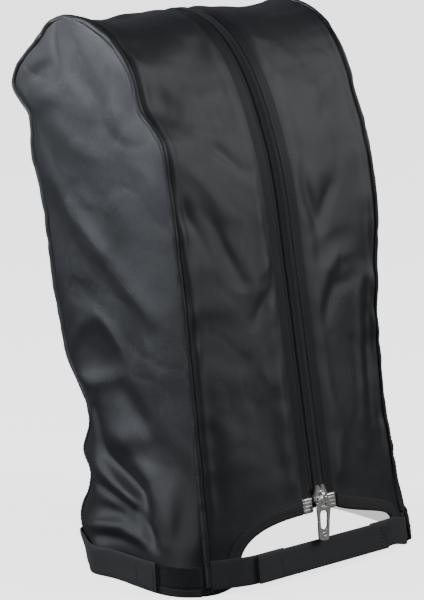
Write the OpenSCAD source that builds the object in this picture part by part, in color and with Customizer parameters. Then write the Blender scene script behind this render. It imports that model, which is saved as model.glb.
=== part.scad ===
// Golf bag rain hood: a soft zipped hood that drops over the clubs in a golf bag.
// Front faces -Y, the hem stands on z = 0, the zipper runs up the front and over the crown.
// All sizes in millimetres.

/* [Hood] */
// Seam-to-seam width at the hem
hem_width = 254; // [230:1:280]
// Seam-to-seam width at the crown
crown_width = 280; // [250:1:310]
// Front-to-back depth at the hem
hem_depth = 178; // [165:1:195]
// Height of the crown above the hem
hood_height = 533; // [480:1:580]
// Backward lean of the front face, in degrees
front_lean = 7.5; // [5:0.1:10]
// Backward lean of the back face, in degrees
back_lean = 11.7; // [9:0.1:13]
// How far the hem of each side puffs out past its seams
side_puff = 34; // [20:1:42]
// Thickness of the coated cloth
cloth = 1.2; // [0.8:0.1:1.4]

/* [Front arch] */
// How far the arched opening reaches left of the zipper
arch_left = 99; // [80:1:104]
// How far the arched opening reaches right of the zipper
arch_right = 108; // [80:1:110]
// Height of the arched opening at the zipper
arch_height = 60; // [50:0.5:62]
// Width of the binding round the arch
binding_w = 12; // [8:1:14]

/* [Zipper] */
// Half the gap between the two folded cloth edges
zip_gap = 8.6; // [8.4:0.1:10]
// Width of one zipper tape
tape_w = 19; // [14:1:22]
// Height of the slider's middle above the floor
slider_z = 76; // [76:1:90]
// Length of the pull tab
pull_len = 41; // [30:1:41]

/* [Straps] */
// Width of the webbing
strap_w = 28; // [20:1:30]
// Thickness of the webbing
webbing = 1.5; // [1.2:0.1:1.6]

/* [Hidden] */
$fn = 48;

// ---- the hood's side outline, in the Y-Z plane ----
shoulder_z = 340;           // the front is straight up to here
back_shoulder_z = 380;      // and the back up to here
crown_y = 101;              // where the crown is highest
low_rows = 10;
top_rows = 12;
inset = cloth + 0.4;        // side panels sit this far inside the gusset
front_square = 2.3;         // how square the front rolls into the crown: 2 is an ellipse, more is squarer
back_square = 2;            // and the back
flare_power = 2.5;          // the hood widens with its height to this power
puff_power = 0.8;           // below 1, a puff is full close to its seams
back_half_square = 2.5;     // how square, in plan, the back half of a side panel is
zip_end_rows = 8;           // the zipper ends this many rows behind the crown
floor_gap = 0.1;            // the seams stand this far off the floor

function front_line(z) = -hem_depth / 2 + z * tan(front_lean);
function back_line(z) = hem_depth / 2 + z * tan(back_lean);
// 1 at the shoulder, falling to 0 at the crown; n says how square the roll is
function round_off(z, z0, n) =
    z <= z0 ? 1 : pow(max(0, 1 - pow((z - z0) / (hood_height - z0), n)), 1 / n);
function front_y(z) = crown_y - (crown_y - front_line(z)) * round_off(z, shoulder_z, front_square);
function back_y(z) = crown_y + (back_line(z) - crown_y) * round_off(z, back_shoulder_z, back_square);
function half_w(z) = (hem_width + (crown_width - hem_width) * pow(z / hood_height, flare_power)) / 2;

row_z = concat(
    [for (i = [0:low_rows - 1]) shoulder_z * i / low_rows],
    [for (i = [0:top_rows]) shoulder_z + (hood_height - shoulder_z) * sin(90 * i / top_rows)]
);
crown_i = len(row_z) - 1;
// Path round the hood: up the front, over the crown, down the back, as [y, z]
path = concat(
    [for (z = row_z) [front_y(z), z]],
    [for (i = [1:crown_i]) [back_y(row_z[crown_i - i]), row_z[crown_i - i]]]
);
last_i = len(path) - 1;
zip_end_i = crown_i + zip_end_rows;

// How far the gusset bellies out at its middle, front and back
function front_puff(z) = lookup(z, [[0, 27], [shoulder_z, 4], [430, -1], [hood_height, -1]]);
function back_puff(z) = lookup(z, [[0, 0], [60, 10], [250, 18], [430, 8], [hood_height, -1]]);
function puff(i) = i <= crown_i ? front_puff(path[i][1]) : back_puff(path[i][1]);

function unit(v) = v / norm(v);
function outward(i) = let (d = unit(path[min(i + 1, last_i)] - path[max(i - 1, 0)])) [-d[1], d[0]];
// A point on the gusset: path row i, across at x, standing d outside the cloth's outer face
function gusset(i, x, d = 0) =
    let (n = outward(i), s = puff(i) * (1 - pow(x / half_w(path[i][1]), 2)) + d)
    [x, path[i][0] + n[0] * s, path[i][1] + n[1] * s];
// The same on the straight lower front, at any height z
function front_face(x, z, d = 0) =
    let (s = front_puff(z) * (1 - pow(x / half_w(z), 2)) + d)
    [x, front_line(z) - cos(front_lean) * s, max(0, z + sin(front_lean) * s)];

// How far a side panel puffs out, and how square that puff is in plan, front half and back half
function side_out(z) = lookup(z, [[0, side_puff], [45, side_puff - 2], [120, side_puff / 2], [300, 9],
                                  [450, 9], [hood_height, 4]]);
function side_square(z, v) =
    v > 0.5 ? back_half_square : lookup(z, [[0, 5], [60, 4.5], [180, 2.6], [hood_height, 2.2]]);
function side_x(z, v) = half_w(z)
    + side_out(z) * pow(max(0, 1 - pow(abs(2 * v - 1), side_square(z, v))), puff_power);
function side_y(z, v) = front_y(z) + inset + (back_y(z) - front_y(z) - 2 * inset) * v;
// A point d outside the side panel, with its offset square to the panel in plan
function side_face(z, v, d) =
    let (e = 0.01, t = unit([side_x(z, v + e) - side_x(z, v - e), side_y(z, v + e) - side_y(z, v - e)]))
    [side_x(z, v) + t[1] * d, side_y(z, v) - t[0] * d, z];

// ---- solids from grids of points ----
function flat(rows) = [for (r = rows) each r];
function quad(a, b, c, d) = [[a, b, c], [a, c, d]];
// A closed sheet between two grids of the same size
module sheet(outer, inner, flip = false) {
    r = len(outer);
    c = len(outer[0]);
    n = r * c;
    faces = concat(
        [for (i = [0:r - 2], j = [0:c - 2]) each
            quad(i * c + j, i * c + j + 1, (i + 1) * c + j + 1, (i + 1) * c + j)],
        [for (i = [0:r - 2], j = [0:c - 2]) each
            quad(n + (i + 1) * c + j, n + (i + 1) * c + j + 1, n + i * c + j + 1, n + i * c + j)],
        [for (j = [0:c - 2]) each quad(j + 1, j, n + j, n + j + 1)],
        [for (j = [0:c - 2]) each
            quad((r - 1) * c + j, (r - 1) * c + j + 1, n + (r - 1) * c + j + 1, n + (r - 1) * c + j)],
        [for (i = [0:r - 2]) each quad(i * c, (i + 1) * c, n + (i + 1) * c, n + i * c)],
        [for (i = [0:r - 2]) each
            quad((i + 1) * c + c - 1, i * c + c - 1, n + i * c + c - 1, n + (i + 1) * c + c - 1)]
    );
    polyhedron(concat(flat(outer), flat(inner)), flip ? [for (f = faces) [f[2], f[1], f[0]]] : faces);
}
// A closed tube through rings of points
module tube(rings) {
    r = len(rings);
    c = len(rings[0]);
    faces = concat(
        [for (i = [0:r - 2], j = [0:c - 1]) each
            quad(i * c + j, i * c + (j + 1) % c, (i + 1) * c + (j + 1) % c, (i + 1) * c + j)],
        [for (j = [1:c - 2]) [0, j + 1, j]],
        [for (j = [1:c - 2]) [(r - 1) * c, (r - 1) * c + j, (r - 1) * c + j + 1]]
    );
    polyhedron(flat(rings), faces);
}
module right_side(side) {
    if (side > 0) children();
    else mirror([1, 0, 0]) children();
}

// ---- colours ----
shell_colour = [0.16, 0.165, 0.18];
binding_colour = [0.08, 0.08, 0.085];
webbing_colour = [0.2, 0.205, 0.215];
loop_colour = [0.1, 0.1, 0.12];
zip_colour = [0.12, 0.12, 0.125];
metal_colour = [0.72, 0.7, 0.67];

// ---- the cloth shell ----
module side_panel(side) {
    cols = 14;
    last_row = crown_i - 1;
    function edge(i) = let (n = outward(i)) [path[i][0] - inset * n[0], max(0, path[i][1] - inset * n[1])];
    function cell(i, j, t) =
        let (v = (1 - cos(180 * j / cols)) / 2, f = edge(i), b = edge(last_i - i), y = f[0] + (b[0] - f[0]) * v,
             z = f[1] + (b[1] - f[1]) * v)
        [side_x(z, v) - t, y, z];
    color(shell_colour) right_side(side)
        sheet([for (i = [0:last_row]) [for (j = [0:cols]) cell(i, j, 0)]],
              [for (i = [0:last_row]) [for (j = [0:cols]) cell(i, j, cloth)]], true);
}

arch_cols = 11;     // columns over the arch
leg_cols = 3;       // columns over the leg beside it
leg_lift = 8;       // the arch ends this far above the hem, and the leg rounds down from there
arch_top_z = 96;    // above this height the cloth's columns run straight up
clip_reach = 23;    // the zipper's end clips end this far from its middle
left_square = 3;    // the arch is softly rounded on the left
right_square = 9;   // on the right it has a square corner
right_sag = 22;     // and sags this much from the clip to that corner
sag_power = 0.8;    // most of it close to the clip
function arch_half(side) = side < 0 ? arch_left : arch_right;
function arch_square(side) = side < 0 ? left_square : right_square;
function arch_sag(side, phi) = side < 0 ? 0 : right_sag
    * pow(max(0, arch_half(side) * sin(phi) - clip_reach) / (arch_half(side) - clip_reach), sag_power);
// A point on its edge: phi runs from 0 at the zipper to 90 at the leg, grow moves it off the edge
function arch_x(side, phi, grow = 0) = (arch_half(side) + grow) * sin(phi);
function arch_z(side, phi, grow = 0) = let (n = arch_square(side))
    leg_lift + (arch_height - arch_sag(side, phi) - leg_lift + grow) * pow(1 - pow(sin(phi), n), 1 / n);
function arch_phi(side, x) = asin(x / arch_half(side));

module front_panel(side) {
    cols = arch_cols + leg_cols;
    settle_rows = 4;    // rows from the arch's edge up to arch_top_z
    first_row = 4;      // the first row of the path above that height
    phi0 = arch_phi(side, zip_gap);
    half = arch_half(side);
    function phi(k) = phi0 + (90 - phi0) * k / arch_cols;
    function low_x(k) = k <= arch_cols ? arch_x(side, phi(k))
        : half + (half_w(0) - half) * (k - arch_cols) / leg_cols;
    function low_z(k) = k <= arch_cols ? arch_z(side, phi(k))
        : leg_lift * pow(1 - (k - arch_cols) / leg_cols, 2);
    function high_x(k, z) = zip_gap + (half_w(z) - zip_gap) * k / cols;
    function low_cell(r, k, d) =
        let (s = r / settle_rows, z = low_z(k) + (arch_top_z - low_z(k)) * s)
        front_face(low_x(k) + (high_x(k, arch_top_z) - low_x(k)) * s, z, d);
    function rows(d) = concat(
        [for (r = [0:settle_rows]) [for (k = [0:cols]) low_cell(r, k, d)]],
        [for (i = [first_row:zip_end_i]) [for (k = [0:cols]) gusset(i, high_x(k, path[i][1]), d)]]
    );
    color(shell_colour) right_side(side) sheet(rows(0), rows(-cloth));
}

module back_panel() {
    cols = 12;
    set_in = 0.02;                  // this far inside the front panels' outer face
    lap = 1;                        // the panel stops this far below their edge
    room = [400, 120, 30];          // block cut away to leave room for them
    function cell(i, k, d) =
        let (w = half_w(path[i][1]), p = gusset(i, w * (2 * k / cols - 1), d - set_in))
        [p[0], p[1], max(0, p[2])];
    function rows(d) = [for (i = [zip_end_i:last_i]) [for (k = [0:cols]) cell(i, k, d)]];
    color(shell_colour) difference() {
        sheet(rows(0), rows(-cloth));
        translate([-room[0] / 2, gusset(zip_end_i, 0)[1] - room[1] / 2, path[zip_end_i][1] - lap]) cube(room);
    }
}

module seam_welt(side) {
    r = 1.8;
    sides = 8;
    reach = 1.5;    // centre this far out of the corner, both ways
    function ring(i) = let (n = outward(i), p = path[i], w = half_w(p[1]))
        [for (k = [0:sides - 1]) let (a = 360 * k / sides, c = r * cos(a), s = r * sin(a))
            [w + reach + c, p[0] + n[0] * (reach + s), max(floor_gap, p[1] + n[1] * (reach + s))]];
    color(shell_colour) right_side(side) tube([for (i = [0:last_i]) ring(i)]);
}

// Taped seam behind the crown, where the front panels meet the back panel
module crown_cross_seam() {
    cols = 12;
    half = 6;       // half the tape's width
    margin = 3;     // it ends this far from the side seams
    w = half_w(path[zip_end_i][1]) - margin;
    n = outward(zip_end_i);
    function rows(d) = [for (s = [-half, 0, half])
        [for (k = [0:cols]) let (p = gusset(zip_end_i, w * (2 * k / cols - 1), d))
            [p[0], p[1] - n[1] * s, p[2] + n[0] * s]]];
    color(binding_colour) sheet(outer = rows(2.5), inner = rows(1.6));
}

module arch_binding(side) {
    steps = 16;
    phi0 = arch_phi(side, clip_reach);
    function rows(d) = [for (k = [0:steps]) let (phi = phi0 + (90 - phi0) * k / steps)
        [for (g = [0, binding_w]) front_face(arch_x(side, phi, g), arch_z(side, phi, g), d)]];
    color(binding_colour) right_side(side) sheet(outer = rows(1.3), inner = rows(0.3), flip = true);
}

// A band laid on a side panel: heights z0 to z1, front-to-back from v0 to v1, d0 to d1 off the cloth.
// It drops by fall from the panel's front edge to its back edge.
module side_band(side, z0, z1, v0, v1, d0, d1, steps = 14, fall = 0) {
    function rows(d) = [for (z = [z0, (z0 + z1) / 2, z1])
        [for (k = [0:steps]) let (v = v0 + (v1 - v0) * k / steps) side_face(z - fall * v, v, d)]];
    right_side(side) sheet(rows(d1), rows(d0), true);
}

module hem_tape(side) {
    color(binding_colour)
        side_band(side, z0 = 0, z1 = 8, v0 = 0.03, v1 = 0.97, d0 = 0.5, d1 = 1.4, steps = 24);
}

module back_hem_facing() {
    w = 240;
    h = 12;
    t = 1.0;
    gap = inset + 0.2;
    function y(z) = back_line(z) - gap;
    color(binding_colour) translate([-w / 2, 0, 0]) rotate([90, 0, 90])
        linear_extrude(w) polygon([[y(0) - t, 0], [y(0), 0], [y(h), h], [y(h) - t, h]]);
}

// ---- the zipper ----
zip_low = front_face(0, 0);
zip_high = front_face(0, shoulder_z);
zip_lean = atan2(zip_high[1] - zip_low[1], zip_high[2] - zip_low[2]);
coil_half = 5.2;
coil_in = 0.6;       // half the gap between the two coils
coil_deep = 1.4;     // half its thickness
zip_foot = 3;        // tapes and coils start this far above the arch
zip_first = 2;       // first row of the path on the zipper
// Local frame on the zipper line at floor height z: -Y is outward, +Z runs up the zipper
module zip_frame(z) {
    y = zip_low[1] + (z - zip_low[2]) * tan(zip_lean);
    translate([0, y, z]) rotate([-zip_lean, 0, 0]) children();
}
module zip_strip(side, x0, x1, d0, d1, first, last) {
    function ring(f) = [f(x0, d0), f(x1, d0), f(x1, d1), f(x0, d1)];
    low = ring(function(x, d) front_face(x, arch_height + zip_foot, d));
    right_side(side) tube(concat([low],
        [for (i = [first:last]) ring(function(x, d) gusset(i, x, d))]));
}
module zipper_tape(side) {
    color(zip_colour) zip_strip(side, x0 = 1, x1 = 1 + tape_w, d0 = -2.3, d1 = -1.5,
                                first = zip_first, last = zip_end_i);
}
module zipper_coil(side) {
    color(zip_colour) zip_strip(side, x0 = coil_in, x1 = coil_half, d0 = -coil_deep, d1 = coil_deep,
                                first = zip_first, last = zip_end_i - 1);
}

// A clip folded up round the end of one tape, open at the top
module end_clip() {
    clip_x = 9.3;       // its inner edge
    clip_w = 12;
    clip_h = 15;
    wall = 0.9;
    floor_t = 1.0;
    slot = 4.0;
    slot_y = -0.4;      // where the slot starts, front to back
    drop = 1.5;         // the clip hangs this far below the arch
    rib_r = 0.7;
    rib_pitch = 3.4;
    translate([clip_x, slot_y, 0]) {
        difference() {
            translate([0, -wall, -drop]) cube([clip_w, slot + 2 * wall, clip_h]);
            translate([-1, 0, floor_t - drop]) cube([clip_w + 2, slot, clip_h]);
        }
        for (k = [0:3]) translate([0, 0.1 - wall, floor_t + rib_pitch * k])
            rotate([0, 90, 0]) cylinder(r = rib_r, h = clip_w);
    }
}
module zipper_end_clips() {
    edge_z = front_face(0, arch_height)[2];
    color(metal_colour) zip_frame(edge_z) {
        end_clip();
        mirror([1, 0, 0]) end_clip();
    }
}
// Frame at the zipper's upper end, behind the crown
module zip_end_frame() {
    p = gusset(zip_end_i, 0);
    n = outward(zip_end_i);
    translate(p) rotate([atan2(n[1], n[0]) - 90, 0, 0]) children();
}
module zipper_top_stops() {
    stop = [3.2, 3, 2.4];
    color(metal_colour) zip_end_frame()
        for (s = [-1, 1]) translate([s * stop[0] - stop[0] / 2, -10, -1.3]) cube(stop);
}
module zipper_end_tab() {
    cap = [32, 12, 1.2];
    color(shell_colour) zip_end_frame() translate([-cap[0] / 2, -13, 2.8]) cube(cap);
}

blade_top = -4.2;    // outer face of the slider's top blade
hinge_out = 2.6;     // pull pivot above that face
pivot_z = -1.2;      // pull pivot along the slider
pin_r = 1.22;
module blade_outline() {
    // horns at the closed end, broad shoulders at the end that opens
    polygon([[-4.9, 11.5], [-2.0, 11.5], [0, 7.2], [2.0, 11.5], [4.9, 11.5], [5.6, 7.5], [8.2, 2.5], [8.3, -1],
             [6.6, -7.5], [4.4, -9.5], [-4.4, -9.5], [-6.6, -7.5], [-8.3, -1], [-8.2, 2.5], [-5.6, 7.5]]);
}
module slider_body() {
    under = 2.0;            // inner face of the top blade
    lap = 0.1;              // walls and wedge run this far into it
    low_face = -4.4;        // outer face of the bottom blade
    low_t = 1.5;
    wall = [1.5, 3.2, 7];
    wall_x = 6.85;          // middle of a side wall
    wedge = [0.7, 5.1, 6];
    color(metal_colour) zip_frame(slider_z) {
        // top blade
        rotate([90, 0, 0]) translate([0, 0, under]) linear_extrude(-blade_top - under) blade_outline();
        // bottom blade, under the tapes
        rotate([90, 0, 0]) translate([0, 0, low_face]) linear_extrude(low_t)
            polygon([[-5, 10], [5, 10], [7.8, 1], [6.4, -8.5], [-6.4, -8.5], [-7.8, 1]]);
        // side walls down to the tapes
        for (s = [-1, 1]) translate([s * wall_x - wall[0] / 2, -under - lap, -4.5]) cube(wall);
        // the wedge that parts the two coils
        translate([-wedge[0] / 2, -under - lap, -8.5]) cube(wedge);
    }
}
module slider_bridge() {
    w = 3.2;
    eye_r = 2.5;
    foot_h = 1.6;
    gap = 0.05;         // clear of the blade
    play = 0.08;        // round the pull's bar
    color(metal_colour) zip_frame(slider_z) translate([0, blade_top, pivot_z]) rotate([0, 90, 0])
        translate([0, 0, -w / 2]) difference() {
            union() {
                translate([0, -hinge_out, 0]) cylinder(r = eye_r, h = w);
                translate([-eye_r, -hinge_out, 0]) cube([2 * eye_r, hinge_out - gap, w]);
                translate([-6.5, -foot_h, 0]) cube([5, foot_h - gap, w]);
            }
            translate([0, -hinge_out, -1]) cylinder(r = pin_r + play, h = w + 2);
        }
}
module pull_tab() {
    t = 2.2;
    window_end = pull_len - 9;
    bar = 13.2;         // length of the bar that turns in the bridge
    ear_x = 5.8;        // the plate's ears, at the bar's ends
    ear = [2.4, t, 2.5];
    recess = [5, t / 2 + 0.5, 4];
    color(metal_colour) zip_frame(slider_z) translate([0, blade_top - hinge_out, pivot_z]) {
        difference() {
            rotate([90, 0, 0]) translate([0, 0, -t / 2]) linear_extrude(t) difference() {
                polygon([[-7, -1.2], [7, -1.2], [9, -8.5], [9, -11.5], [6.9, -pull_len + 3], [5.6, -pull_len],
                         [-5.6, -pull_len], [-6.9, -pull_len + 3], [-9, -11.5], [-9, -8.5]]);
                // eye round the bridge
                polygon([[-4.6, 0], [4.6, 0], [5.4, -5], [4, -9.2], [-4, -9.2], [-5.4, -5]]);
                // long window
                polygon([[-4.6, -13.5], [4.6, -13.5], [5.6, -17], [3.9, -window_end], [-3.9, -window_end],
                         [-5.6, -17]]);
            }
            // shallow recess in the grip end
            translate([-recess[0] / 2, -t, -pull_len + 4]) cube(recess);
        }
        translate([-bar / 2, 0, 0]) rotate([0, 90, 0]) cylinder(r = pin_r, h = bar);
        for (s = [-1, 1]) translate([s * ear_x - ear[0] / 2, -t / 2, -ear[2]]) cube(ear);
    }
}

// ---- the front strap and its tabs, in a frame that leans with the front face ----
module front_frame() {
    translate([0, -hem_depth / 2, 0]) rotate([-front_lean, 0, 0]) translate([0, 0, strap_z]) children();
}
// A strip of webbing standing on edge: points are [x, distance out from the seam plane]
module ribbon(points, t, h) {
    n = len(points);
    function normal(i) = let (d = unit(points[min(i + 1, n - 1)] - points[max(i - 1, 0)])) [-d[1], d[0]];
    linear_extrude(h) mirror([0, 1]) polygon(concat(points,
        [for (i = [n - 1:-1:0]) points[i] + normal(i) * t]));
}
strap_out = 24.2;    // inner face of the front strap
strap_z = 5.3;       // its lower edge
strap_x0 = -86;      // its free end
strap_x1 = 71.4;     // where its sewn end begins
tab_t = 1.3;         // thickness of a tab
hinge_gap = 0.6;     // between the strap and its sewn end
// A tab bows out from the seam at the arch's leg and ends at x = end
module tab(side, end) {
    bow = [[124, 3.2], [118, 6.6], [112, 10], [106, 13.4], [100, 16.6], [94, 19.2], [88, 20.5], [84, 20.7],
           [end, 20.7]];
    color(webbing_colour) right_side(side) front_frame() mirror([1, 0, 0])
        ribbon([for (p = bow) [-p[0], p[1]]], tab_t, strap_w);
}
module pad(x0, x1, d0, d1) {
    margin = 2;
    front_frame() translate([x0, -d1, margin]) cube([x1 - x0, d1 - d0, strap_w - 2 * margin]);
}
module left_tab_loop_pad() { color(loop_colour) pad(x0 = -84, x1 = -54, d0 = 22.1, d1 = 23.0); }
module front_strap_hook_pad() { color(loop_colour) pad(x0 = -83, x1 = -55, d0 = 23.2, d1 = 24.1); }
module front_strap() {
    color(webbing_colour) front_frame() translate([strap_x0, -strap_out - webbing, 0])
        cube([strap_x1 - strap_x0, webbing, strap_w]);
}
module front_strap_anchor() {
    anchor_w = 14;
    anchor_in = 2.0;     // it reaches this far inside the strap, to the tab
    color(webbing_colour) front_frame() translate([strap_x1 + hinge_gap, -strap_out - webbing, 0])
        cube([anchor_w, webbing + anchor_in, strap_w]);
}

// ---- the gather straps at the sides ----
gather_z = 2.5;         // lower edge, if carried on to the front seam
gather_fall = 2.5;      // and how much lower it is at the back seam
gather_front = 0.21;    // free end, as a share of the side panel's depth
gather_hinge = 0.885;   // where the sewn end begins
gather_end = 0.96;      // and where it ends
gather_out = 2.7;       // inner face of the strap
module loop_patch(side) {
    color(loop_colour)
        side_band(side, z0 = 8.5, z1 = 28.5, v0 = 0.015, v1 = 0.42, d0 = 0.5, d1 = 1.5, steps = 16);
}
module gather_hook_pad(side) {
    color(loop_colour)
        side_band(side, z0 = 10, z1 = 27, v0 = gather_front + 0.01, v1 = 0.35, d0 = 1.8, d1 = 2.6, steps = 6);
}
// Webbing along the gather line, from v0 to v1, with its inner face d0 off the cloth
module gather_band(side, v0, v1, d0, steps) {
    color(webbing_colour)
        side_band(side, gather_z, gather_z + strap_w, v0, v1, d0, gather_out + webbing, steps, gather_fall);
}
module gather_strap(side) { gather_band(side, gather_front, gather_hinge, d0 = gather_out, steps = 20); }
module gather_anchor(side) { gather_band(side, gather_hinge + 0.006, gather_end, d0 = 1.6, steps = 4); }

side_panel(-1);  // left_side_panel
side_panel(1);  // right_side_panel
front_panel(-1);  // front_left_panel
front_panel(1);  // front_right_panel
back_panel();
seam_welt(-1);  // left_seam_welt
seam_welt(1);  // right_seam_welt
crown_cross_seam();
arch_binding(-1);  // arch_binding_left
arch_binding(1);  // arch_binding_right
hem_tape(-1);  // left_hem_tape
hem_tape(1);  // right_hem_tape
back_hem_facing();
zipper_tape(-1);  // zipper_tape_left
zipper_tape(1);  // zipper_tape_right
zipper_coil(-1);  // zipper_coil_left
zipper_coil(1);  // zipper_coil_right
zipper_end_clips();
zipper_top_stops();
zipper_end_tab();
slider_body();
slider_bridge();
pull_tab();
tab(-1, 50);  // left_tab
tab(1, 66);  // right_tab
left_tab_loop_pad();
front_strap();
front_strap_hook_pad();
front_strap_anchor();
loop_patch(-1);  // left_loop_patch
loop_patch(1);  // right_loop_patch
gather_strap(-1);  // left_gather_strap
gather_strap(1);  // right_gather_strap
gather_hook_pad(-1);  // left_gather_hook_pad
gather_hook_pad(1);  // right_gather_hook_pad
gather_anchor(-1);  // left_gather_anchor
gather_anchor(1);  // right_gather_anchor
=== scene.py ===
import math

import bmesh
import bpy
import numpy as np
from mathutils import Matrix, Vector


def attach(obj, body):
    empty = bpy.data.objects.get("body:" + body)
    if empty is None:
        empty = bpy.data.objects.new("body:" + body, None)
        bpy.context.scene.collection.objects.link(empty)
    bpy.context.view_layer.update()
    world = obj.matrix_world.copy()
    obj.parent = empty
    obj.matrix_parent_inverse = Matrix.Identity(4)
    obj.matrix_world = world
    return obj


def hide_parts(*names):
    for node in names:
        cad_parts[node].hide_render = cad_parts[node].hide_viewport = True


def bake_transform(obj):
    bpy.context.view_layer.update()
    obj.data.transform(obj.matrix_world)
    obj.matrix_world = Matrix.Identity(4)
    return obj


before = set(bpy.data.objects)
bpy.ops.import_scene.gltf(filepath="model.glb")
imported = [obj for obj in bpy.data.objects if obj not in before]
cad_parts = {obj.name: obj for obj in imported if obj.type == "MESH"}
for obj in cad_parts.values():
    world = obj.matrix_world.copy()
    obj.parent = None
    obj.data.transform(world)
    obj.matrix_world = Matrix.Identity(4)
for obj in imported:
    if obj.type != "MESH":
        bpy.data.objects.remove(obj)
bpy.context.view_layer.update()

MM = 0.001
SHELL = "hood_shell"
SIDES = ((-1, "left"), (1, "right"))

# ---- the hood's outline, in mm

HEM_HALF = 127.0
CROWN_HALF = 140.0
FLARE_POWER = 2.5           # the hood widens with its height to this power
DEPTH = 178.0
HEIGHT = 533.0
FRONT_LEAN = math.radians(7.5)
BACK_LEAN = math.radians(11.7)
SHOULDER_Z = 340.0          # the front is straight up to here
BACK_SHOULDER_Z = 380.0     # and the back up to here
FRONT_SQUARE = 2.3          # how square each rolls over into the crown: 2 is an ellipse
BACK_SQUARE = 2.0
CROWN_Y = 101.0
HEM_PUFF = 27.0             # the front bellies out this much at the hem
SHOULDER_PUFF = 4.0         # and this much at the shoulder
SIDE_PUFF = 34.0
PUFF_POWER = 0.8
BACK_HALF_SQUARE = 2.5      # how square, in plan, the back half of a side is
CLOTH = 1.2

ZIP_GAP = 8.6
EDGE_STITCH = 11.2          # rows of stitches beside the zipper, from its middle
BAND_STITCH = 20.0
ARCH_LEFT = 99.0
ARCH_RIGHT = 108.0
ARCH_HEIGHT = 60.0
LEG_LIFT = 8.0
CLIP_REACH = 23.0
SETTLE_Z = 96.0             # above this height the front's columns run straight up


def lookup(t, pairs):
    """Straight lines through (t, value) pairs."""
    return np.interp(t, *zip(*pairs))


def smoothstep(a, b, t):
    k = np.clip((t - a) / (b - a), 0, 1)
    return k * k * (3 - 2 * k)


def bump_at(t, centre, height, width):
    return height * np.exp(-((t - centre) / width) ** 2)


def unit(vectors):
    return vectors / np.maximum(np.linalg.norm(vectors, axis=-1, keepdims=True), 1e-9)


def run_length(points):
    """Length along a line of points, up to each of them."""
    return np.concatenate([[0], np.cumsum(np.linalg.norm(np.diff(points, axis=0), axis=-1))])


def rounded(z, z0, square):
    """1 at the shoulder z0, falling to 0 at the crown."""
    share = np.clip((z - z0) / (HEIGHT - z0), 0, 1)
    return (1 - share ** square) ** (1 / square)


def front_y(z):
    line = -DEPTH / 2 + z * math.tan(FRONT_LEAN)
    return CROWN_Y - (CROWN_Y - line) * rounded(z, SHOULDER_Z, FRONT_SQUARE)


def back_y(z):
    line = DEPTH / 2 + z * math.tan(BACK_LEAN)
    return CROWN_Y + (line - CROWN_Y) * rounded(z, BACK_SHOULDER_Z, BACK_SQUARE)


def half_w(z):
    return HEM_HALF + (CROWN_HALF - HEM_HALF) * (np.clip(z, 0, HEIGHT) / HEIGHT) ** FLARE_POWER


def outline_heights(shoulder):
    """Heights from the hem to the crown, close together where the outline turns over."""
    turn = np.linspace(0, math.pi / 2, 500)
    straight = np.linspace(0, shoulder, int(shoulder) + 1)[:-1]
    return np.concatenate([straight, shoulder + (HEIGHT - shoulder) * np.sin(turn)])


class Path:
    """The seam line seen from the side: up the front, over the crown, down the back, by arc length."""

    def __init__(self):
        front_z = outline_heights(SHOULDER_Z)
        back_z = outline_heights(BACK_SHOULDER_Z)[::-1]
        y = np.concatenate([front_y(front_z), back_y(back_z)[1:]])
        z = np.concatenate([front_z, back_z[1:]])
        length = run_length(np.stack([y, z], -1))
        self.total = length[-1]
        self.s = np.linspace(0, self.total, 2401)
        self.y = np.interp(self.s, length, y)
        self.z = np.interp(self.s, length, z)
        self.top = int(np.argmax(self.z))
        self.crown = self.s[self.top]
        ty, tz = np.gradient(self.y), np.gradient(self.z)
        size = np.hypot(ty, tz)
        self.ny, self.nz = -tz / size, ty / size
        front = lookup(self.z, [(0, HEM_PUFF), (SHOULDER_Z, SHOULDER_PUFF), (430, -1), (HEIGHT, -1)])
        back = lookup(self.z, [(0, 0), (60, 10), (250, 18), (430, 8), (HEIGHT, -1)])
        self.puff = np.where(self.s <= self.crown, front, back)

    def at(self, s):
        return [np.interp(s, self.s, a) for a in (self.y, self.z, self.ny, self.nz, self.puff)]

    def height(self, s):
        return np.interp(s, self.s, self.z)

    def normal(self, s):
        _, _, ny, nz, _ = self.at(s)
        return np.stack([ny * 0, ny, nz], -1)

    def front_s(self, z):
        return np.interp(z, self.z[:self.top + 1], self.s[:self.top + 1])

    def back_s(self, z):
        return np.interp(z, self.z[self.top:][::-1], self.s[self.top:][::-1])


PATH = Path()
ZIP_END = float(PATH.back_s(458))       # behind the crown, at this height


def side_x(z, v):
    """How far out a side panel stands; v runs from its front seam (0) to its back seam (1)."""
    out = lookup(z, [(0, SIDE_PUFF), (45, SIDE_PUFF - 2), (120, SIDE_PUFF / 2), (300, 9), (450, 9),
                     (HEIGHT, 4)])
    front_square = lookup(z, [(0, 5), (60, 4.5), (180, 2.6), (HEIGHT, 2.2)])
    square = np.where(v > 0.5, BACK_HALF_SQUARE, front_square)
    return half_w(z) + out * np.clip(1 - np.abs(2 * v - 1) ** square, 0, 1) ** PUFF_POWER


def arch_shape(side):
    """Half span, squareness and sag of the arch on one side of the zipper."""
    return (ARCH_LEFT, 3.0, 0.0) if side < 0 else (ARCH_RIGHT, 9.0, 22.0)


def arch_edge(side, phi, grow=0.0):
    """The arch's edge as (x, height); phi runs from 0 at the zipper to a quarter turn at the leg."""
    half, power, sag = arch_shape(side)
    across = np.sin(phi)
    beyond_clip = np.clip(half * across - CLIP_REACH, 0, None) / (half - CLIP_REACH)
    high = ARCH_HEIGHT - sag * beyond_clip ** 0.8 - LEG_LIFT + grow
    return (half + grow) * across, LEG_LIFT + high * np.clip(1 - across ** power, 0, 1) ** (1 / power)


# ---- noise and listed folds

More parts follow.
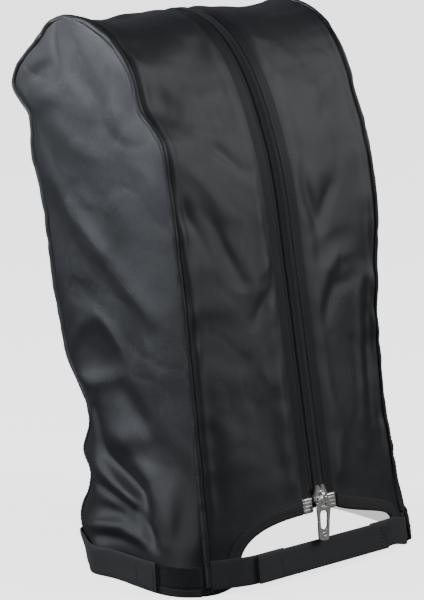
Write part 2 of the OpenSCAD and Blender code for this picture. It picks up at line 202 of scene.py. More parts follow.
def value_noise(u, v, seed):
    """Smooth seeded noise from -1 to 1, one bump per unit."""
    cells = 64
    grid = np.random.RandomState(seed).uniform(-1, 1, (cells, cells))
    iu, iv = np.floor(u).astype(int), np.floor(v).astype(int)
    fu, fv = (f ** 3 * (f * (f * 6 - 15) + 10) for f in (u - iu, v - iv))
    iu, next_u, iv, next_v = (i % cells for i in (iu, iu + 1, iv, iv + 1))
    near, far = (grid[iu, i] * (1 - fu) + grid[next_u, i] * fu for i in (iv, next_v))
    return near * (1 - fv) + far * fv


def crumple(a, b, size, seed):
    """Smooth noise with its grid turned and warped, so that it shows no rows."""
    turn = seed * 1.3
    warp = 0.9
    u = (a * math.cos(turn) + b * math.sin(turn)) / size
    v = (b * math.cos(turn) - a * math.sin(turn)) / size
    warp_u = value_noise(u * 0.8 + 7, v * 0.8, seed + 50)
    warp_v = value_noise(u * 0.8, v * 0.8 + 9, seed + 51)
    return value_noise(u + warp * warp_u, v + warp * warp_v, seed)


def creases(a, b, size, seed):
    """Crumpled cloth: soft pillows that meet in sharp creases, from about -1 to 0.4."""
    return 0.4 - 1.4 * np.exp(-np.abs(crumple(a, b, size, seed)) * 7)


def fold(a, b, points, height, reach):
    """A ridge (or valley, when height is below 0) along a line of points, fading at its ends."""
    points = np.array(points, float)
    runs = np.hypot(*np.diff(points, axis=0).T)
    total = runs.sum()
    nearest = np.full(a.shape, np.inf)
    along = np.zeros(a.shape)
    done = 0.0
    for p, q, run in zip(points[:-1], points[1:], runs):
        d = (q - p) / run
        t = np.clip((a - p[0]) * d[0] + (b - p[1]) * d[1], 0, run)
        dist = np.hypot(a - p[0] - t * d[0], b - p[1] - t * d[1])
        along = np.where(dist < nearest, (done + t) / total, along)
        nearest = np.minimum(nearest, dist)
        done += run
    fade = np.sin(math.pi * np.clip(0.12 + along * 0.76, 0, 1)) ** 0.8
    return height * np.exp(-(nearest / reach) ** 2) * fade


def dent(a, b, centre, height, reach_a, reach_b, turn=0.0):
    """A soft round lump (or hollow, when height is below 0)."""
    da, db = a - centre[0], b - centre[1]
    c, s = math.cos(turn), math.sin(turn)
    return height * np.exp(-(((da * c + db * s) / reach_a) ** 2 + ((db * c - da * s) / reach_b) ** 2))


def placed(a, b, folds, dents):
    """The sum of listed folds and dents."""
    return sum(fold(a, b, *f) for f in folds) + sum(dent(a, b, *d) for d in dents)


# ---- how the seams wander off the CAD line

# How far the left back seam stands out from the outline, as (height, shift)
BACK_LEFT_SHIFT = [(0, 0), (13, 4), (31, 9), (45, 6), (60, -8), (82, -20), (100, -8), (112, -14),
                   (130, -28), (150, -25), (196, -4), (248, 0), (344, -4), (392, 2), (426, -3),
                   (438, 1), (449, 27), (466, 26), (484, 13), (506, 0)]
# The same for the right front seam, as (length along the outline, shift)
FRONT_RIGHT_SHIFT = [(0, 4.5), (15, 4), (60, 0), (140, -3), (240, -4), (330, 0), (420, -3), (480, 0)]
# How far that seam strays sideways: dragged out by the tab, drawn in at mid height
FRONT_RIGHT_REACH = [(0, 2.5), (20, 2), (50, -1), (100, -4), (150, -7.5), (235, -8), (300, -4),
                     (345, -1.5), (420, -3), (500, -2.5), (600, 0)]


def seam_shift(side, s):
    """How far the seam stands out from the outline, square to it."""
    if side < 0:
        z = PATH.height(s)
        back = sum(lookup(z + k, BACK_LEFT_SHIFT) for k in (-8, -4, 0, 4, 8)) / 5
        shift = np.where(s > PATH.crown, back, 0)
        bumps = [(PATH.front_s(418), 5, 22), (PATH.front_s(460), -10, 22)]
    else:
        shift = 0
        bumps = [(PATH.front_s(455), -4, 30), (PATH.back_s(470), 8, 18),
                 (PATH.back_s(330), -4, 60), (PATH.back_s(120), -16, 40)]
    for bump in bumps:
        shift = shift + bump_at(s, *bump)
    shift = shift + 0.7 * value_noise(s / 17, 0.0, 5 + side)
    # the hem's two corners and the crown stay where they are
    shift = shift * smoothstep(0, 60, s) * smoothstep(0, 25, PATH.total - s)
    shift = shift * smoothstep(4, 40, abs(s - PATH.crown))
    return shift if side < 0 else shift + lookup(s, FRONT_RIGHT_SHIFT)


# ---- surfaces

def gusset(x, s, d=0.0):
    """A point on the front, crown and back cloth: x across, s up the outline, d outside it."""
    y, z, ny, nz, puff = PATH.at(s)
    hw = half_w(z)
    k = puff * (1 - np.clip(np.abs(x) / hw, 0, 1) ** 2) + d
    fade = 75.0     # a seam's shift fades out over this width
    for side in (-1, 1):
        k = k + seam_shift(side, s) * smoothstep(0, 1, 1 - (hw - x * side) / fade)
    x = x + lookup(s, FRONT_RIGHT_REACH) * np.clip(x / hw, 0, 1) ** 4
    return np.stack([x, y + ny * k, np.maximum(z + nz * k, 0)], -1)


def side_face(side, z, v):
    """A point on a side panel: z up, v from the front seam (0) to the back seam (1)."""
    yf, yb = front_y(z), back_y(z)
    x = side_x(z, v)
    if side > 0:
        x = x + lookup(PATH.front_s(z), FRONT_RIGHT_REACH) * (1 - v) ** 4
    else:
        # the gather strap leaves a corner in the left side's hem
        x = x + bump_at(v, 0.7, 8, 0.1) * (1 - smoothstep(22, 60, z))
    y = yf + (yb - yf) * v
    high = z + 0 * v
    depth = np.maximum(yb - yf, 1)
    fade = np.minimum(55, depth / 2)
    for s, gap in ((PATH.front_s(z), v * depth), (PATH.back_s(z), (1 - v) * depth)):
        _, _, ny, nz, _ = PATH.at(s)
        k = seam_shift(side, s) * smoothstep(0, 1, 1 - gap / fade)
        y = y + ny * k
        high = high + nz * k
    return np.stack([side * x, y, np.maximum(high, 0)], -1)


def gusset_line(x, s, d=0.0):
    """Points along the gusset, d outside it, with their outward normals."""
    x, s = np.broadcast_arrays(np.asarray(x, float), s)
    return gusset(x, s, d), PATH.normal(s)


def side_line(side, v, z, d):
    """Points standing d outside a side panel, with their outward normals."""
    v, z, d = np.broadcast_arrays(v, z, d)
    e = 0.004
    t = side_face(side, z, np.clip(v + e, 0, 1)) - side_face(side, z, np.clip(v - e, 0, 1))
    t = unit(t[..., :2])
    normal = np.stack([t[..., 1], -t[..., 0], t[..., 0] * 0], -1)
    normal = normal * np.sign(normal[..., 0].mean() * side)
    return side_face(side, z, v) + normal * d[..., None], normal


def smooth_grid(values, rounds=2):
    for _ in range(rounds):
        p = np.pad(values, 1, mode="edge")
        values = (values * 4 + p[:-2, 1:-1] + p[2:, 1:-1] + p[1:-1, :-2] + p[1:-1, 2:]) / 8
    return values


# ---- mesh helpers

def link_mesh(name, mesh):
    """Puts a mesh in the scene, shaded smooth."""
    mesh.polygons.foreach_set("use_smooth", [True] * len(mesh.polygons))
    obj = bpy.data.objects.new(name, mesh)
    bpy.context.scene.collection.objects.link(obj)
    return obj


def make_object(name, verts, faces, uvs=None):
    """An object from vertices in mm, with one uv in mm for each where uvs are given."""
    mesh = bpy.data.meshes.new(name)
    mesh.from_pydata([tuple(float(c) * MM for c in p) for p in verts], [], faces)
    if uvs is not None:
        layer = mesh.uv_layers.new(name="cloth")
        loops = np.zeros(len(mesh.loops), dtype=np.int64)
        mesh.loops.foreach_get("vertex_index", loops)
        layer.data.foreach_set("uv", (np.asarray(uvs, float)[loops] * MM).ravel())
    return link_mesh(name, mesh)


def solid_object(name, verts, faces, uvs=None):
    """A closed solid, with its faces turned outward."""
    obj = make_object(name, verts, faces, uvs)
    bm = bmesh.new()
    bm.from_mesh(obj.data)
    bmesh.ops.recalc_face_normals(bm, faces=bm.faces)
    bm.to_mesh(obj.data)
    bm.free()
    return obj


def ring_faces(rings, around, first=0):
    """Faces of a closed tube through rings of vertices, which start at number first."""
    faces = []
    for i in range(rings - 1):
        for k in range(around):
            a, b = first + i * around + k, first + i * around + (k + 1) % around
            faces.append((a, b, b + around, a + around))
    last = first + (rings - 1) * around
    return faces + [tuple(range(first, first + around))[::-1], tuple(range(last, last + around))]


def sheet_object(name, grid, uv, flip=False, thickness=CLOTH):
    """A sheet whose outer face is a grid of points; uv is two grids, or what broadcasts to them."""
    rows, cols = grid.shape[:2]
    faces = []
    for i in range(rows - 1):
        for j in range(cols - 1):
            a = i * cols + j
            quad = (a, a + 1, a + cols + 1, a + cols)
            faces.append(quad[::-1] if flip else quad)
    uvs = np.stack(np.broadcast_arrays(*uv), -1).reshape(-1, 2)
    obj = make_object(name, grid.reshape(-1, 3), faces, uvs)
    solid = obj.modifiers.new("thickness", "SOLIDIFY")
    solid.thickness = thickness * MM
    solid.offset = -1
    return obj


def face_out(obj, direction=None):
    """Turns a sheet's faces to look along a direction, or else away from the hood's middle."""
    total = 0.0
    middle = Vector((0, 0.08, 0.25))
    for p in obj.data.polygons:
        away = Vector(direction) if direction else (p.center - middle) * Vector((0, 1, 1))
        total += p.normal.dot(away) * p.area
    if total < 0:
        obj.data.flip_normals()
    return obj


def sweep(name, centres, sides, ups, profile):
    """Carries a closed profile of (side, up) points along a line of centres."""
    run = run_length(centres)
    verts, uvs = [], []
    for i in range(len(centres)):
        for a, b in profile:
            verts.append(centres[i] + sides[i] * a + ups[i] * b)
            uvs.append((run[i], a))
    return solid_object(name, verts, ring_faces(len(centres), len(profile)), uvs)


def bevel(obj, name, width, angle, harden=False):
    mod = obj.modifiers.new(name, "BEVEL")
    mod.width = width * MM
    mod.segments = 2
    mod.limit_method = "ANGLE"
    mod.angle_limit = math.radians(angle)
    mod.harden_normals = harden


# ---- materials

class Nodes:
    """Short calls that add shader nodes to a tree; a value is a number, a colour or a node's output."""

    def __init__(self, tree):
        self.tree = tree

    def feed(self, socket, value):
        if isinstance(value, bpy.types.NodeSocket):
            self.tree.links.new(value, socket)
        else:
            socket.default_value = (*value, 1) if isinstance(value, tuple) else value

    def add(self, kind, inputs, **settings):
        node = self.tree.nodes.new("ShaderNode" + kind)
        for name, value in settings.items():
            setattr(node, name, value)
        for key, value in inputs.items():
            self.feed(node.inputs[key], value)
        return node

    def math(self, operation, *values):
        return self.add("Math", dict(enumerate(values)), operation=operation).outputs[0]

    def plus(self, a, b, share=None):
        """a and a share of b."""
        return self.math("ADD", a, b if share is None else self.math("MULTIPLY", b, share))

    def ramp(self, fac, low, high, start=0.0, end=1.0):
        inputs = {"Value": fac, "From Min": start, "From Max": end, "To Min": low, "To Max": high}
        return self.add("MapRange", inputs).outputs[0]

    def mix(self, fac, a, b):
        """Mixes two colours."""
        node = self.add("Mix", {"Factor": fac}, data_type="RGBA")
        for socket, colour in zip([s for s in node.inputs if s.type == "RGBA"], (a, b)):
            self.feed(socket, colour)
        return next(s for s in node.outputs if s.type == "RGBA")

    def seen(self):
        """1 for rays from the camera, 0 for all others."""
        return self.add("LightPath", {}).outputs["Is Camera Ray"]


class Look(Nodes):
    """A new material with a Principled shader; u and v run along and across a cloth, in metres."""

    def __init__(self, name):
        self.material = bpy.data.materials.new(name)
        self.material.use_nodes = True
        super().__init__(self.material.node_tree)
        self.tree.nodes.clear()
        self.shader = self.add("BsdfPrincipled", {})
        self.add("OutputMaterial", {"Surface": self.shader.outputs[0]})
        coord = self.add("TexCoord", {})
        self.place = coord.outputs["Object"]
        self.u, self.v = self.add("SeparateXYZ", {0: coord.outputs["UV"]}).outputs[:2]

    def noise(self, scale, detail=3.0, rough=0.55):
        inputs = {"Vector": self.place, "Scale": scale, "Detail": detail, "Roughness": rough}
        return self.add("TexNoise", inputs).outputs["Fac"]

    def wave(self, value, period_mm):
        return self.math("SINE", self.math("MULTIPLY", value, 2 * math.pi / (period_mm * MM)))

    def finish(self, colour, roughness, bumps=(), **others):
        """Sets the shader's inputs; a bump is (height, strength, depth in mm), from coarse to fine."""
        inputs = {"Base_Color": colour, "Roughness": roughness, **others}
        for height, strength, depth in bumps:
            parts = {"Strength": strength, "Distance": depth * MM, "Height": height}
            if "Normal" in inputs:
                parts["Normal"] = inputs["Normal"]
            inputs["Normal"] = self.add("Bump", parts).outputs[0]
        for name, value in inputs.items():
            self.feed(self.shader.inputs[name.replace("_", " ")], value)
        return self.material


def cloth_look(name, zip_band):
    """Black coated twill; the doubled band beside the zipper is a little darker and duller."""
    look = Look(name)
    weave = look.plus(look.wave(look.plus(look.u, look.v), 2.1),
                      look.wave(look.math("SUBTRACT", look.u, look.v), 1.4), 0.6)
    cloudy = look.noise(14, 4)
    grain = look.noise(700, 2)
    crumpled = look.noise(42, 5, 0.5)
    colour = look.mix(cloudy, (0.0058, 0.0061, 0.0073), (0.0090, 0.0095, 0.0115))
    rough = look.plus(look.ramp(cloudy, 0.39, 0.47, 0.3, 0.7), grain, 0.08)
    shine = 0.62
    if zip_band:
        edge = BAND_STITCH + 0.5
        inside = look.ramp(look.math("ABSOLUTE", look.u), 1.0, 0.0, edge * MM, (edge + 1) * MM)
        colour = look.mix(look.math("MULTIPLY", inside, 0.75), colour, (0.003, 0.003, 0.0032))
        rough = look.plus(rough, inside, 0.1)
        shine = look.math("SUBTRACT", shine, look.math("MULTIPLY", inside, 0.24))
    return look.finish(colour, rough, [(crumpled, 0.22, 3.0), (weave, 0.55, 0.12), (grain, 0.45, 0.14)],
                       Specular_IOR_Level=shine, Specular_Tint=(0.95, 0.97, 1.0),
                       Sheen_Weight=0.03, Sheen_Roughness=0.45, Sheen_Tint=(0.75, 0.8, 1.0))


def lining_look():
    """The pale coating on the cloth's inner side, with a painted glow where the arch shows it."""
    look = Look("inner_coating")
    colour = look.mix(look.noise(30), (0.80, 0.80, 0.81), (0.86, 0.86, 0.86))
    # painted light: it glows to the camera where it can be seen through the arch, so that the hood's shaded
    # inside looks pale; it glows only there, so that no seam lets light through
    place = look.add("SeparateXYZ", {0: look.place})
    low = look.ramp(place.outputs["Z"], 0.75, 0.0, 65 * MM, 85 * MM)
    inner = look.ramp(place.outputs["X"], 0.0, 1.0, -122 * MM, -112 * MM)
    glow = look.math("MULTIPLY", look.seen(), look.math("MULTIPLY", low, inner))
    return look.finish(colour, 0.6, Emission_Color=(1, 1, 1), Emission_Strength=glow)


def binding_look():
    look = Look("binding")
    weave = look.plus(look.wave(look.u, 1.1), look.wave(look.v, 1.4), 0.5)
    fuzz = look.noise(1200, 2)
    colour = look.mix(fuzz, (0.006, 0.006, 0.007), (0.011, 0.0114, 0.013))
    return look.finish(colour, 0.72, [(weave, 0.5, 0.15), (fuzz, 0.5, 0.15)], Sheen_Weight=0.08)


def webbing_look():
    """Herringbone webbing with broad ribs along it."""
    look = Look("webbing")
    zigzag = look.math("PINGPONG", look.math("MULTIPLY", look.v, 1 / MM), 2.2)
    herring = look.wave(look.plus(look.u, zigzag, 0.9 * MM), 1.9)
    weave = look.plus(look.plus(herring, look.wave(look.v, 4.4), 0.5), look.wave(look.u, 1.9), 0.3)
    fuzz = look.noise(1500)
    colour = look.mix(look.noise(60), (0.0145, 0.015, 0.017), (0.0235, 0.0245, 0.028))
    return look.finish(colour, 0.66, [(weave, 0.3, 0.12), (fuzz, 0.4, 0.15)],
                       Sheen_Weight=0.12, Sheen_Roughness=0.5)


def hook_and_loop_look():
    look = Look("hook_and_loop")
    pile = look.noise(1600, 4, 0.7)
    clumps = look.noise(330, 3, 0.6)
    colour = look.mix(pile, (0.002, 0.002, 0.003), (0.006, 0.0062, 0.008))
    return look.finish(colour, 0.9, [(clumps, 0.6, 0.8), (pile, 0.9, 0.5)],
                       Sheen_Weight=0.08, Sheen_Roughness=0.6)


def zipper_tape_look():
    look = Look("zipper_tape")
    fuzz = look.noise(1500, 2)
    colour = look.mix(fuzz, (0.010, 0.010, 0.011), (0.018, 0.0185, 0.020))
    herring = look.wave(look.plus(look.u, look.v), 1.0)
    return look.finish(colour, 0.7, [(herring, 0.5, 0.15), (fuzz, 0.4, 0.1)])


def coil_look():
    look = Look("zipper_coil")
    wear = look.noise(300)
    colour = look.mix(wear, (0.018, 0.0182, 0.0195), (0.028, 0.0285, 0.030))
    return look.finish(colour, look.ramp(wear, 0.55, 0.68), [(wear, 0.2, 0.1)], Specular_IOR_Level=0.3)


def thread_look():
    look = Look("thread")
    twist = look.noise(2500, 2)
    colour = look.mix(twist, (0.016, 0.0165, 0.018), (0.036, 0.037, 0.040))
    return look.finish(colour, 0.5, [(twist, 0.5, 0.1)], Sheen_Weight=0.2)


def metal_look():
    look = Look("satin_nickel")
    tarnish = look.noise(160, 4)
    colour = look.mix(tarnish, (0.78, 0.76, 0.74), (0.93, 0.92, 0.90))
    scratch = look.noise(1400, 2)
    return look.finish(colour, look.ramp(tarnish, 0.14, 0.28), [(scratch, 0.15, 0.05)], Metallic=0.85)


def floor_look():
    """Pale to the camera, darker to all else, so that it doesn't light the black cloth from below."""
    look = Look("studio_floor")
    seen = look.seen()
    colour = look.mix(seen, (0.10, 0.10, 0.10), (0.85, 0.85, 0.85))
    glow = look.math("MULTIPLY", seen, 2.4)
    return look.finish(colour, 0.9, Emission_Color=(1, 1, 1), Emission_Strength=glow)


MAT = {
    "coated_cloth": cloth_look("coated_cloth", False),
    "front_cloth": cloth_look("coated_cloth_front", True),
    "lining": lining_look(),
    "binding": binding_look(),
    "webbing": webbing_look(),
    "hook_and_loop": hook_and_loop_look(),
    "zipper_tape": zipper_tape_look(),
    "zipper_coil": coil_look(),
    "thread": thread_look(),
    "metal": metal_look(),
}


# ---- how a piece is finished

def dress(obj, material, nodes, slot=None):
    """Gives a piece its material and hides the CAD nodes that it replaces."""
    obj.data.materials.clear()
    obj.data.materials.append(MAT[material])
    slot or material
    if nodes:
        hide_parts(*nodes)


def finish_piece(obj, body, material, *nodes, slot=None):
    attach(obj, body)
    dress(obj, material, nodes, slot)


def finish_cloth(obj, material, node):
    """A cloth panel has the pale coating on its inner side."""
    finish_piece(obj, SHELL, material, node, slot="coated_cloth")
    obj.data.materials.append(MAT["lining"])
    obj.modifiers["thickness"].material_offset = 1


def finish_strap(obj, free, start, end, *nodes):
    """Gives webbing its material and bakes its transform; free, and start and end in mm, are not used."""
    dress(obj, "webbing", nodes)
    start, end = (tuple(map(float, p * MM)) for p in (start, end))
    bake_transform(obj)
    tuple(start)
    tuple(end)


def sew(name, lines, slot, length=2.8, gap=1.4, radius=0.36, body=SHELL, material="thread"):
    """Short raised threads along each line, which is (points, outward normals)."""
    verts, faces = [], []
    around = 6
    shape = [(0.0, 0.15), (0.18, 0.85), (0.82, 0.85), (1.0, 0.15)]
    for points, normals in lines:
        run = run_length(points)
        for k in range(int((run[-1] - gap) // (length + gap))):
            t0 = gap + k * (length + gap)
            start, end, up = (np.array([np.interp(t, run, values[:, c]) for c in range(3)])
                              for t, values in ((t0, points), (t0 + length, points), (t0, normals)))
            up = unit(up)
            across = np.cross(unit(end - start), up)
            faces += ring_faces(len(shape), around, len(verts))
            for share, r in shape:
                centre = start + (end - start) * share
                for q in range(around):
                    a = 2 * math.pi * q / around
                    verts.append(centre + radius * r * (across * math.cos(a) + up * math.sin(a)))
    finish_piece(solid_object(name, verts, faces), body, material, slot=slot)


def flat_stitch_lines(segments, place, normal):
    """Stitch lines along straight segments (x0, z0, x1, z1) in a part's own frame."""
    t = np.linspace(0, 1, 12)
    return [(place(x0 + (x1 - x0) * t, z0 + (z1 - z0) * t), np.tile(normal, (12, 1)))
            for x0, z0, x1, z1 in segments]


def stitch_box(x0, x1, z0, z1, cross=False):
    box = [(x0, z0, x1, z0), (x1, z0, x1, z1), (x1, z1, x0, z1), (x0, z1, x0, z0)]
    return box + ([(x0, z0, x1, z1), (x0, z1, x1, z0)] if cross else [])


# ---- cloth: front, crown and back

STEP = 2.6      # between rows of cloth along the outline

# Folds of the front, by x and height: points along the fold, height, reach
FRONT_FOLDS = [
    ([(-126, 500), (-131, 480), (-128, 450)], 5.0, 9),
    ([(-112, 320), (-117, 290), (-118, 225)], 3.5, 8),
    ([(-84, 424), (-62, 408), (-40, 388)], -3.5, 6),
    ([(-129, 380), (-116, 354), (-100, 330)], -4.0, 8),
    ([(-88, 347), (-76, 318), (-60, 288)], -3.5, 7),
    ([(-112, 400), (-92, 385), (-70, 352)], 3.0, 9),
    ([(-53, 262), (-44, 288), (-28, 300), (-10, 303)], 3.2, 7),
    ([(-52, 246), (-38, 264), (-24, 278), (-11, 282)], -3.2, 6),
    ([(29, 382), (38, 350), (46, 330)], -4.0, 8),
    ([(46, 330), (60, 352), (78, 372)], -3.6, 8),
    ([(35, 258), (46, 284), (66, 298), (90, 298)], 3.4, 8),
    ([(36, 236), (56, 268), (92, 274)], -3.0, 8),
    ([(111, 262), (106, 200), (96, 128)], -4.0, 7),
    ([(95, 262), (90, 200), (80, 130)], 3.4, 7),
    ([(-104, 190), (-96, 140), (-100, 100)], 2.6, 12),
    ([(-66, 210), (-60, 160), (-70, 110)], -2.4, 12),
    ([(-30, 190), (-36, 140), (-28, 95)], 1.8, 9),
    ([(34, 180), (42, 130), (34, 95)], 2.2, 8),
    ([(-100, 470), (-70, 456), (-36, 460)], 3.0, 10),
    ([(-108, 446), (-80, 438), (-44, 436)], -3.0, 9),
    ([(40, 470), (70, 452), (104, 462)], 3.0, 11),
]
# and its dents: middle, height, reach both ways, and a turn if any
FRONT_DENTS = [((-34, 389), -2.0, 5, 9), ((-30, 341), 2.2, 6, 8), ((50, 372), 3.0, 12, 18)]


def gusset_relief(x, s):
    """Folds, puckers and stitched channels of the front, crown and back cloth, outward in mm."""
    z = PATH.height(s)
    ax = np.abs(x)
    from_seam = half_w(z) - ax
    on_front = s < PATH.crown + 60
    # the double layer beside the zipper lies flat and the cloth beyond its stitching puffs up
    zip_side = np.where(on_front, smoothstep(BAND_STITCH, 30, ax), smoothstep(0, 12, ax))
    edge = smoothstep(0, 16, from_seam)
    puff = bump_at(ax, 30, 1.5, 8) - bump_at(ax, BAND_STITCH, 0.9, 1.1) - bump_at(ax, EDGE_STITCH, 0.7, 1.0)
    relief = puff * on_front
    # the edge beside each seam
    pucker = 0.65 + 0.3 * value_noise(s / 19, 3.3, 11)
    pulled = 1 + bump_at(s, PATH.front_s(230), 0.7, 110)
    relief += pulled * (pucker * bump_at(from_seam, 7.5, 2.4, 4.5) - bump_at(from_seam, 1.5, 1.3, 2))
    # broad soft rolls and creases
    rolls = crumple(x, s, 58, 21) * 1.3 + crumple(x, s, 27, 22) * 0.5
    rolls += creases(x, s, 38, 23) * 0.35
    relief += (rolls + 0.7 * placed(x, z, FRONT_FOLDS, FRONT_DENTS) * on_front) * zip_side * edge
    # the crown sags between the zipper and each seam
    sag = bump_at(x, -95, 6.0, 30) + bump_at(x, 90, 4.5, 30)
    relief -= sag * bump_at(s, PATH.crown + 8, 1, 60) * edge
    # small puckers along the zipper's stitching
    ticks = value_noise(s / 17, np.sign(x) * 5 + x / 40, 31)
    relief += ticks * bump_at(ax, 27, 0.5, 7) * on_front
    # flat round the arch, under its binding and the tabs
    low = np.where(s < PATH.crown, z, HEIGHT)
    half = np.where(x < 0, ARCH_LEFT, ARCH_RIGHT)
    ring = ((ax / half) ** 4 + (low / ARCH_HEIGHT) ** 4) ** 0.25
    return relief * smoothstep(1.16, 1.6, ring)


def front_grid(side):
    """Grid of x and s over one front panel, from the arch to the crown seam."""
    cols = 64
    arch_cols = 53
    settle_rows = 26
    half = arch_shape(side)[0]
    phi0 = math.asin(ZIP_GAP / half)
    k = np.arange(cols + 1)
    phi = phi0 + (math.pi / 2 - phi0) * np.minimum(k, arch_cols) / arch_cols
    down = np.clip((k - arch_cols) / (cols - arch_cols), 0, 1)
    low_x, low_z = arch_edge(side, phi)
    low_x = low_x + (HEM_HALF - half) * down
    low_z = np.where(k <= arch_cols, low_z, LEG_LIFT * (1 - down) ** 2)
    rows = []
    for r in range(settle_rows):
        t = r / settle_rows
        high_x = ZIP_GAP + (half_w(SETTLE_Z) - ZIP_GAP) * k / cols
        z = low_z + (SETTLE_Z - low_z) * t
        rows.append((low_x + (high_x - low_x) * t, z / math.cos(FRONT_LEAN)))
    s0 = SETTLE_Z / math.cos(FRONT_LEAN)
    for s in np.linspace(s0, ZIP_END, int((ZIP_END - s0) / STEP)):
        rows.append((ZIP_GAP + (half_w(PATH.height(s)) - ZIP_GAP) * k / cols, k * 0 + s))
    x, s = np.array(rows).transpose(1, 0, 2)
    return x * side, s


def build_front(side, word):
    x, s = front_grid(side)
    grid = gusset(x, s, smooth_grid(gusset_relief(x, s)))
    obj = sheet_object(f"front_{word}_cloth", grid, (x, s), flip=side > 0)
    finish_cloth(face_out(obj), "front_cloth", f"front_{word}_panel")


def build_back():
    s = np.linspace(ZIP_END, PATH.total, int((PATH.total - ZIP_END) / 3.0))[:, None]
    x = np.linspace(-1, 1, 104) * half_w(PATH.height(s))
    s = s + 0 * x
    relief = smooth_grid(gusset_relief(x, s)) * smoothstep(0, 30, PATH.total - s)
    obj = sheet_object("back_cloth", gusset(x, s, relief * smoothstep(0, 8, s - ZIP_END)), (x, s))
    finish_cloth(face_out(obj), "coated_cloth", "back_panel")


# Folds and dents of the sides, by y and height
LEFT_FOLDS = [
    ([(66, 150), (59, 135), (49, 114), (19, 102), (-13, 89), (-28, 64), (-45, 36)], -10.0, 8),
    ([(56, 100), (30, 91), (-3, 80), (-30, 62), (-40, 46)], 7.5, 8),
    ([(40, 140), (12, 124), (-24, 104), (-48, 72)], 5.5, 12),
    ([(52, 83), (17, 77), (-14, 71), (-34, 56), (-43, 40)], -6.5, 5),
    ([(83, 33), (34, 48), (7, 52), (-22, 47), (-38, 36)], 5.5, 6),
    ([(60, 33), (7, 40), (-25, 38)], -3.5, 5),
    ([(-50, 100), (-54, 70), (-57, 40)], 2.5, 7),
    ([(-62, 96), (-64, 66), (-66, 40)], -2.5, 5),
    ([(112, 176), (70, 180), (30, 194)], 7.0, 9),
    ([(112, 208), (92, 232), (66, 248)], 4.5, 8),
    ([(66, 248), (44, 236), (26, 218)], 4.0, 8),
    ([(38, 192), (5, 165), (-24, 140)], -6.5, 13),
    ([(48, 130), (10, 139), (-24, 148)], 5.5, 14),
    ([(136, 372), (83, 329), (17, 280), (-32, 250)], 6.0, 13),
    ([(22, 476), (-2, 430), (-14, 392)], -3.0, 9),
    ([(40, 470), (18, 430), (2, 392)], 1.5, 10),
    ([(-66, 116), (-74, 80), (-79, 36)], -5.0, 7),
    ([(172, 459), (150, 474), (129, 484)], -4.5, 6),
    ([(160, 440), (140, 452), (110, 460)], 3.0, 9),
    ([(-6, 240), (-24, 200), (-36, 150)], 3.0, 10),
    ([(120, 430), (90, 410), (50, 400)], 2.5, 12),
]
LEFT_DENTS = [((22, 63), -5.5, 24, 7, -0.05), ((67, 204), -9.0, 30, 26, 0.4), ((128, 320), -4.5, 13, 32),
              ((36, 312), -5.0, 20, 26, 0.6), ((90, 268), -4.0, 24, 15)]
RIGHT_FOLDS = [
    ([(70, 140), (30, 104), (-20, 70), (-40, 24)], -8.0, 10),
    ([(50, 150), (10, 124), (-34, 90)], 6.0, 13),
    ([(84, 90), (50, 66), (0, 52)], 5.0, 10),
    ([(120, 190), (70, 186), (20, 206)], 5.0, 10),
    ([(130, 352), (80, 330), (30, 286), (-20, 262)], 5.5, 13),
    ([(30, 476), (8, 430), (-8, 388)], -5.0, 9),
]
RIGHT_DENTS = [((50, 230), -7.0, 32, 24, -0.4), ((90, 400), 4.0, 26, 18)]


def side_relief(side, y, z, v):
    """Folds of a side panel, outward in mm."""
    edge = smoothstep(1, 14, np.minimum(v, 1 - v) * (back_y(z) - front_y(z)))
    relief = crumple(y, z, 66, 41 + side) * 1.3 + crumple(y, z, 30, 44 + side) * 0.5
    relief += creases(y, z, 48, 47 + side) * 0.45
    relief *= smoothstep(38, 80, z)
    # the folds are deep near the gather strap and faint above
    strength = lookup(z, [(0, 0.78), (90, 0.66), (230, 0.48), (300, 0.42), (HEIGHT, 0.38)])
    folds = placed(y, z, *((LEFT_FOLDS, LEFT_DENTS) if side < 0 else (RIGHT_FOLDS, RIGHT_DENTS)))
    return (relief + strength * folds * smoothstep(33, 50, z + 0.12 * (y + 40))) * edge


def build_side(side, word):
    cols = 78
    v = (1 - np.cos(np.linspace(0, math.pi, cols))) / 4 + np.linspace(0, 0.5, cols)
    low = np.linspace(0, SHOULDER_Z, 130)[:-1]
    # the top row stops just short of the crown, where it would shrink to a point
    turn = np.linspace(0, 0.985 * math.pi / 2, 110)
    z = np.concatenate([low, SHOULDER_Z + (HEIGHT - SHOULDER_Z) * np.sin(turn)])
    v, z = np.meshgrid(v, z)
    base = side_face(side, z, v)
    y = base[..., 1]
    normals = unit(np.cross(np.gradient(base, axis=0), np.gradient(base, axis=1)))
    normals *= np.sign((normals[..., 0] * side).mean())
    relief = smooth_grid(side_relief(side, y, z, v))
    relief[0] = relief[1]
    grid = base + normals * relief[..., None]
    grid[..., 2] = np.maximum(grid[..., 2], 0)
    obj = sheet_object(f"{word}_side_cloth", grid, (y, z), flip=side > 0)
    finish_cloth(face_out(obj, (side, 0, 0)), "coated_cloth", f"{word}_side_panel")


for side, word in SIDES:
    build_front(side, word)
build_back()
for side, word in SIDES:
    build_side(side, word)


# ---- seam lips

def seam_frame(side, s):
    """Seam points with the direction into the side panel and that panel's outward normal."""
    reach = 6.0
    most_out = 7.0
    y, z, ny, nz, _ = PATH.at(s)
    hw = half_w(z)
    centre = gusset(side * hw, s)
    inner_y, inner_z = y - ny * reach, z - nz * reach
    yf, yb = front_y(inner_z), back_y(inner_z)
    v = np.clip((inner_y - yf) / np.maximum(yb - yf, 1e-3), 0, 1)
    dx = np.minimum(side_x(inner_z, v) - hw, most_out)
    into = unit(np.stack([side * dx, -ny * reach, -nz * reach], -1))
    out = np.cross(unit(np.gradient(centre, axis=0)), into)
    return centre, into, out * np.sign(out[:, :1] * side)


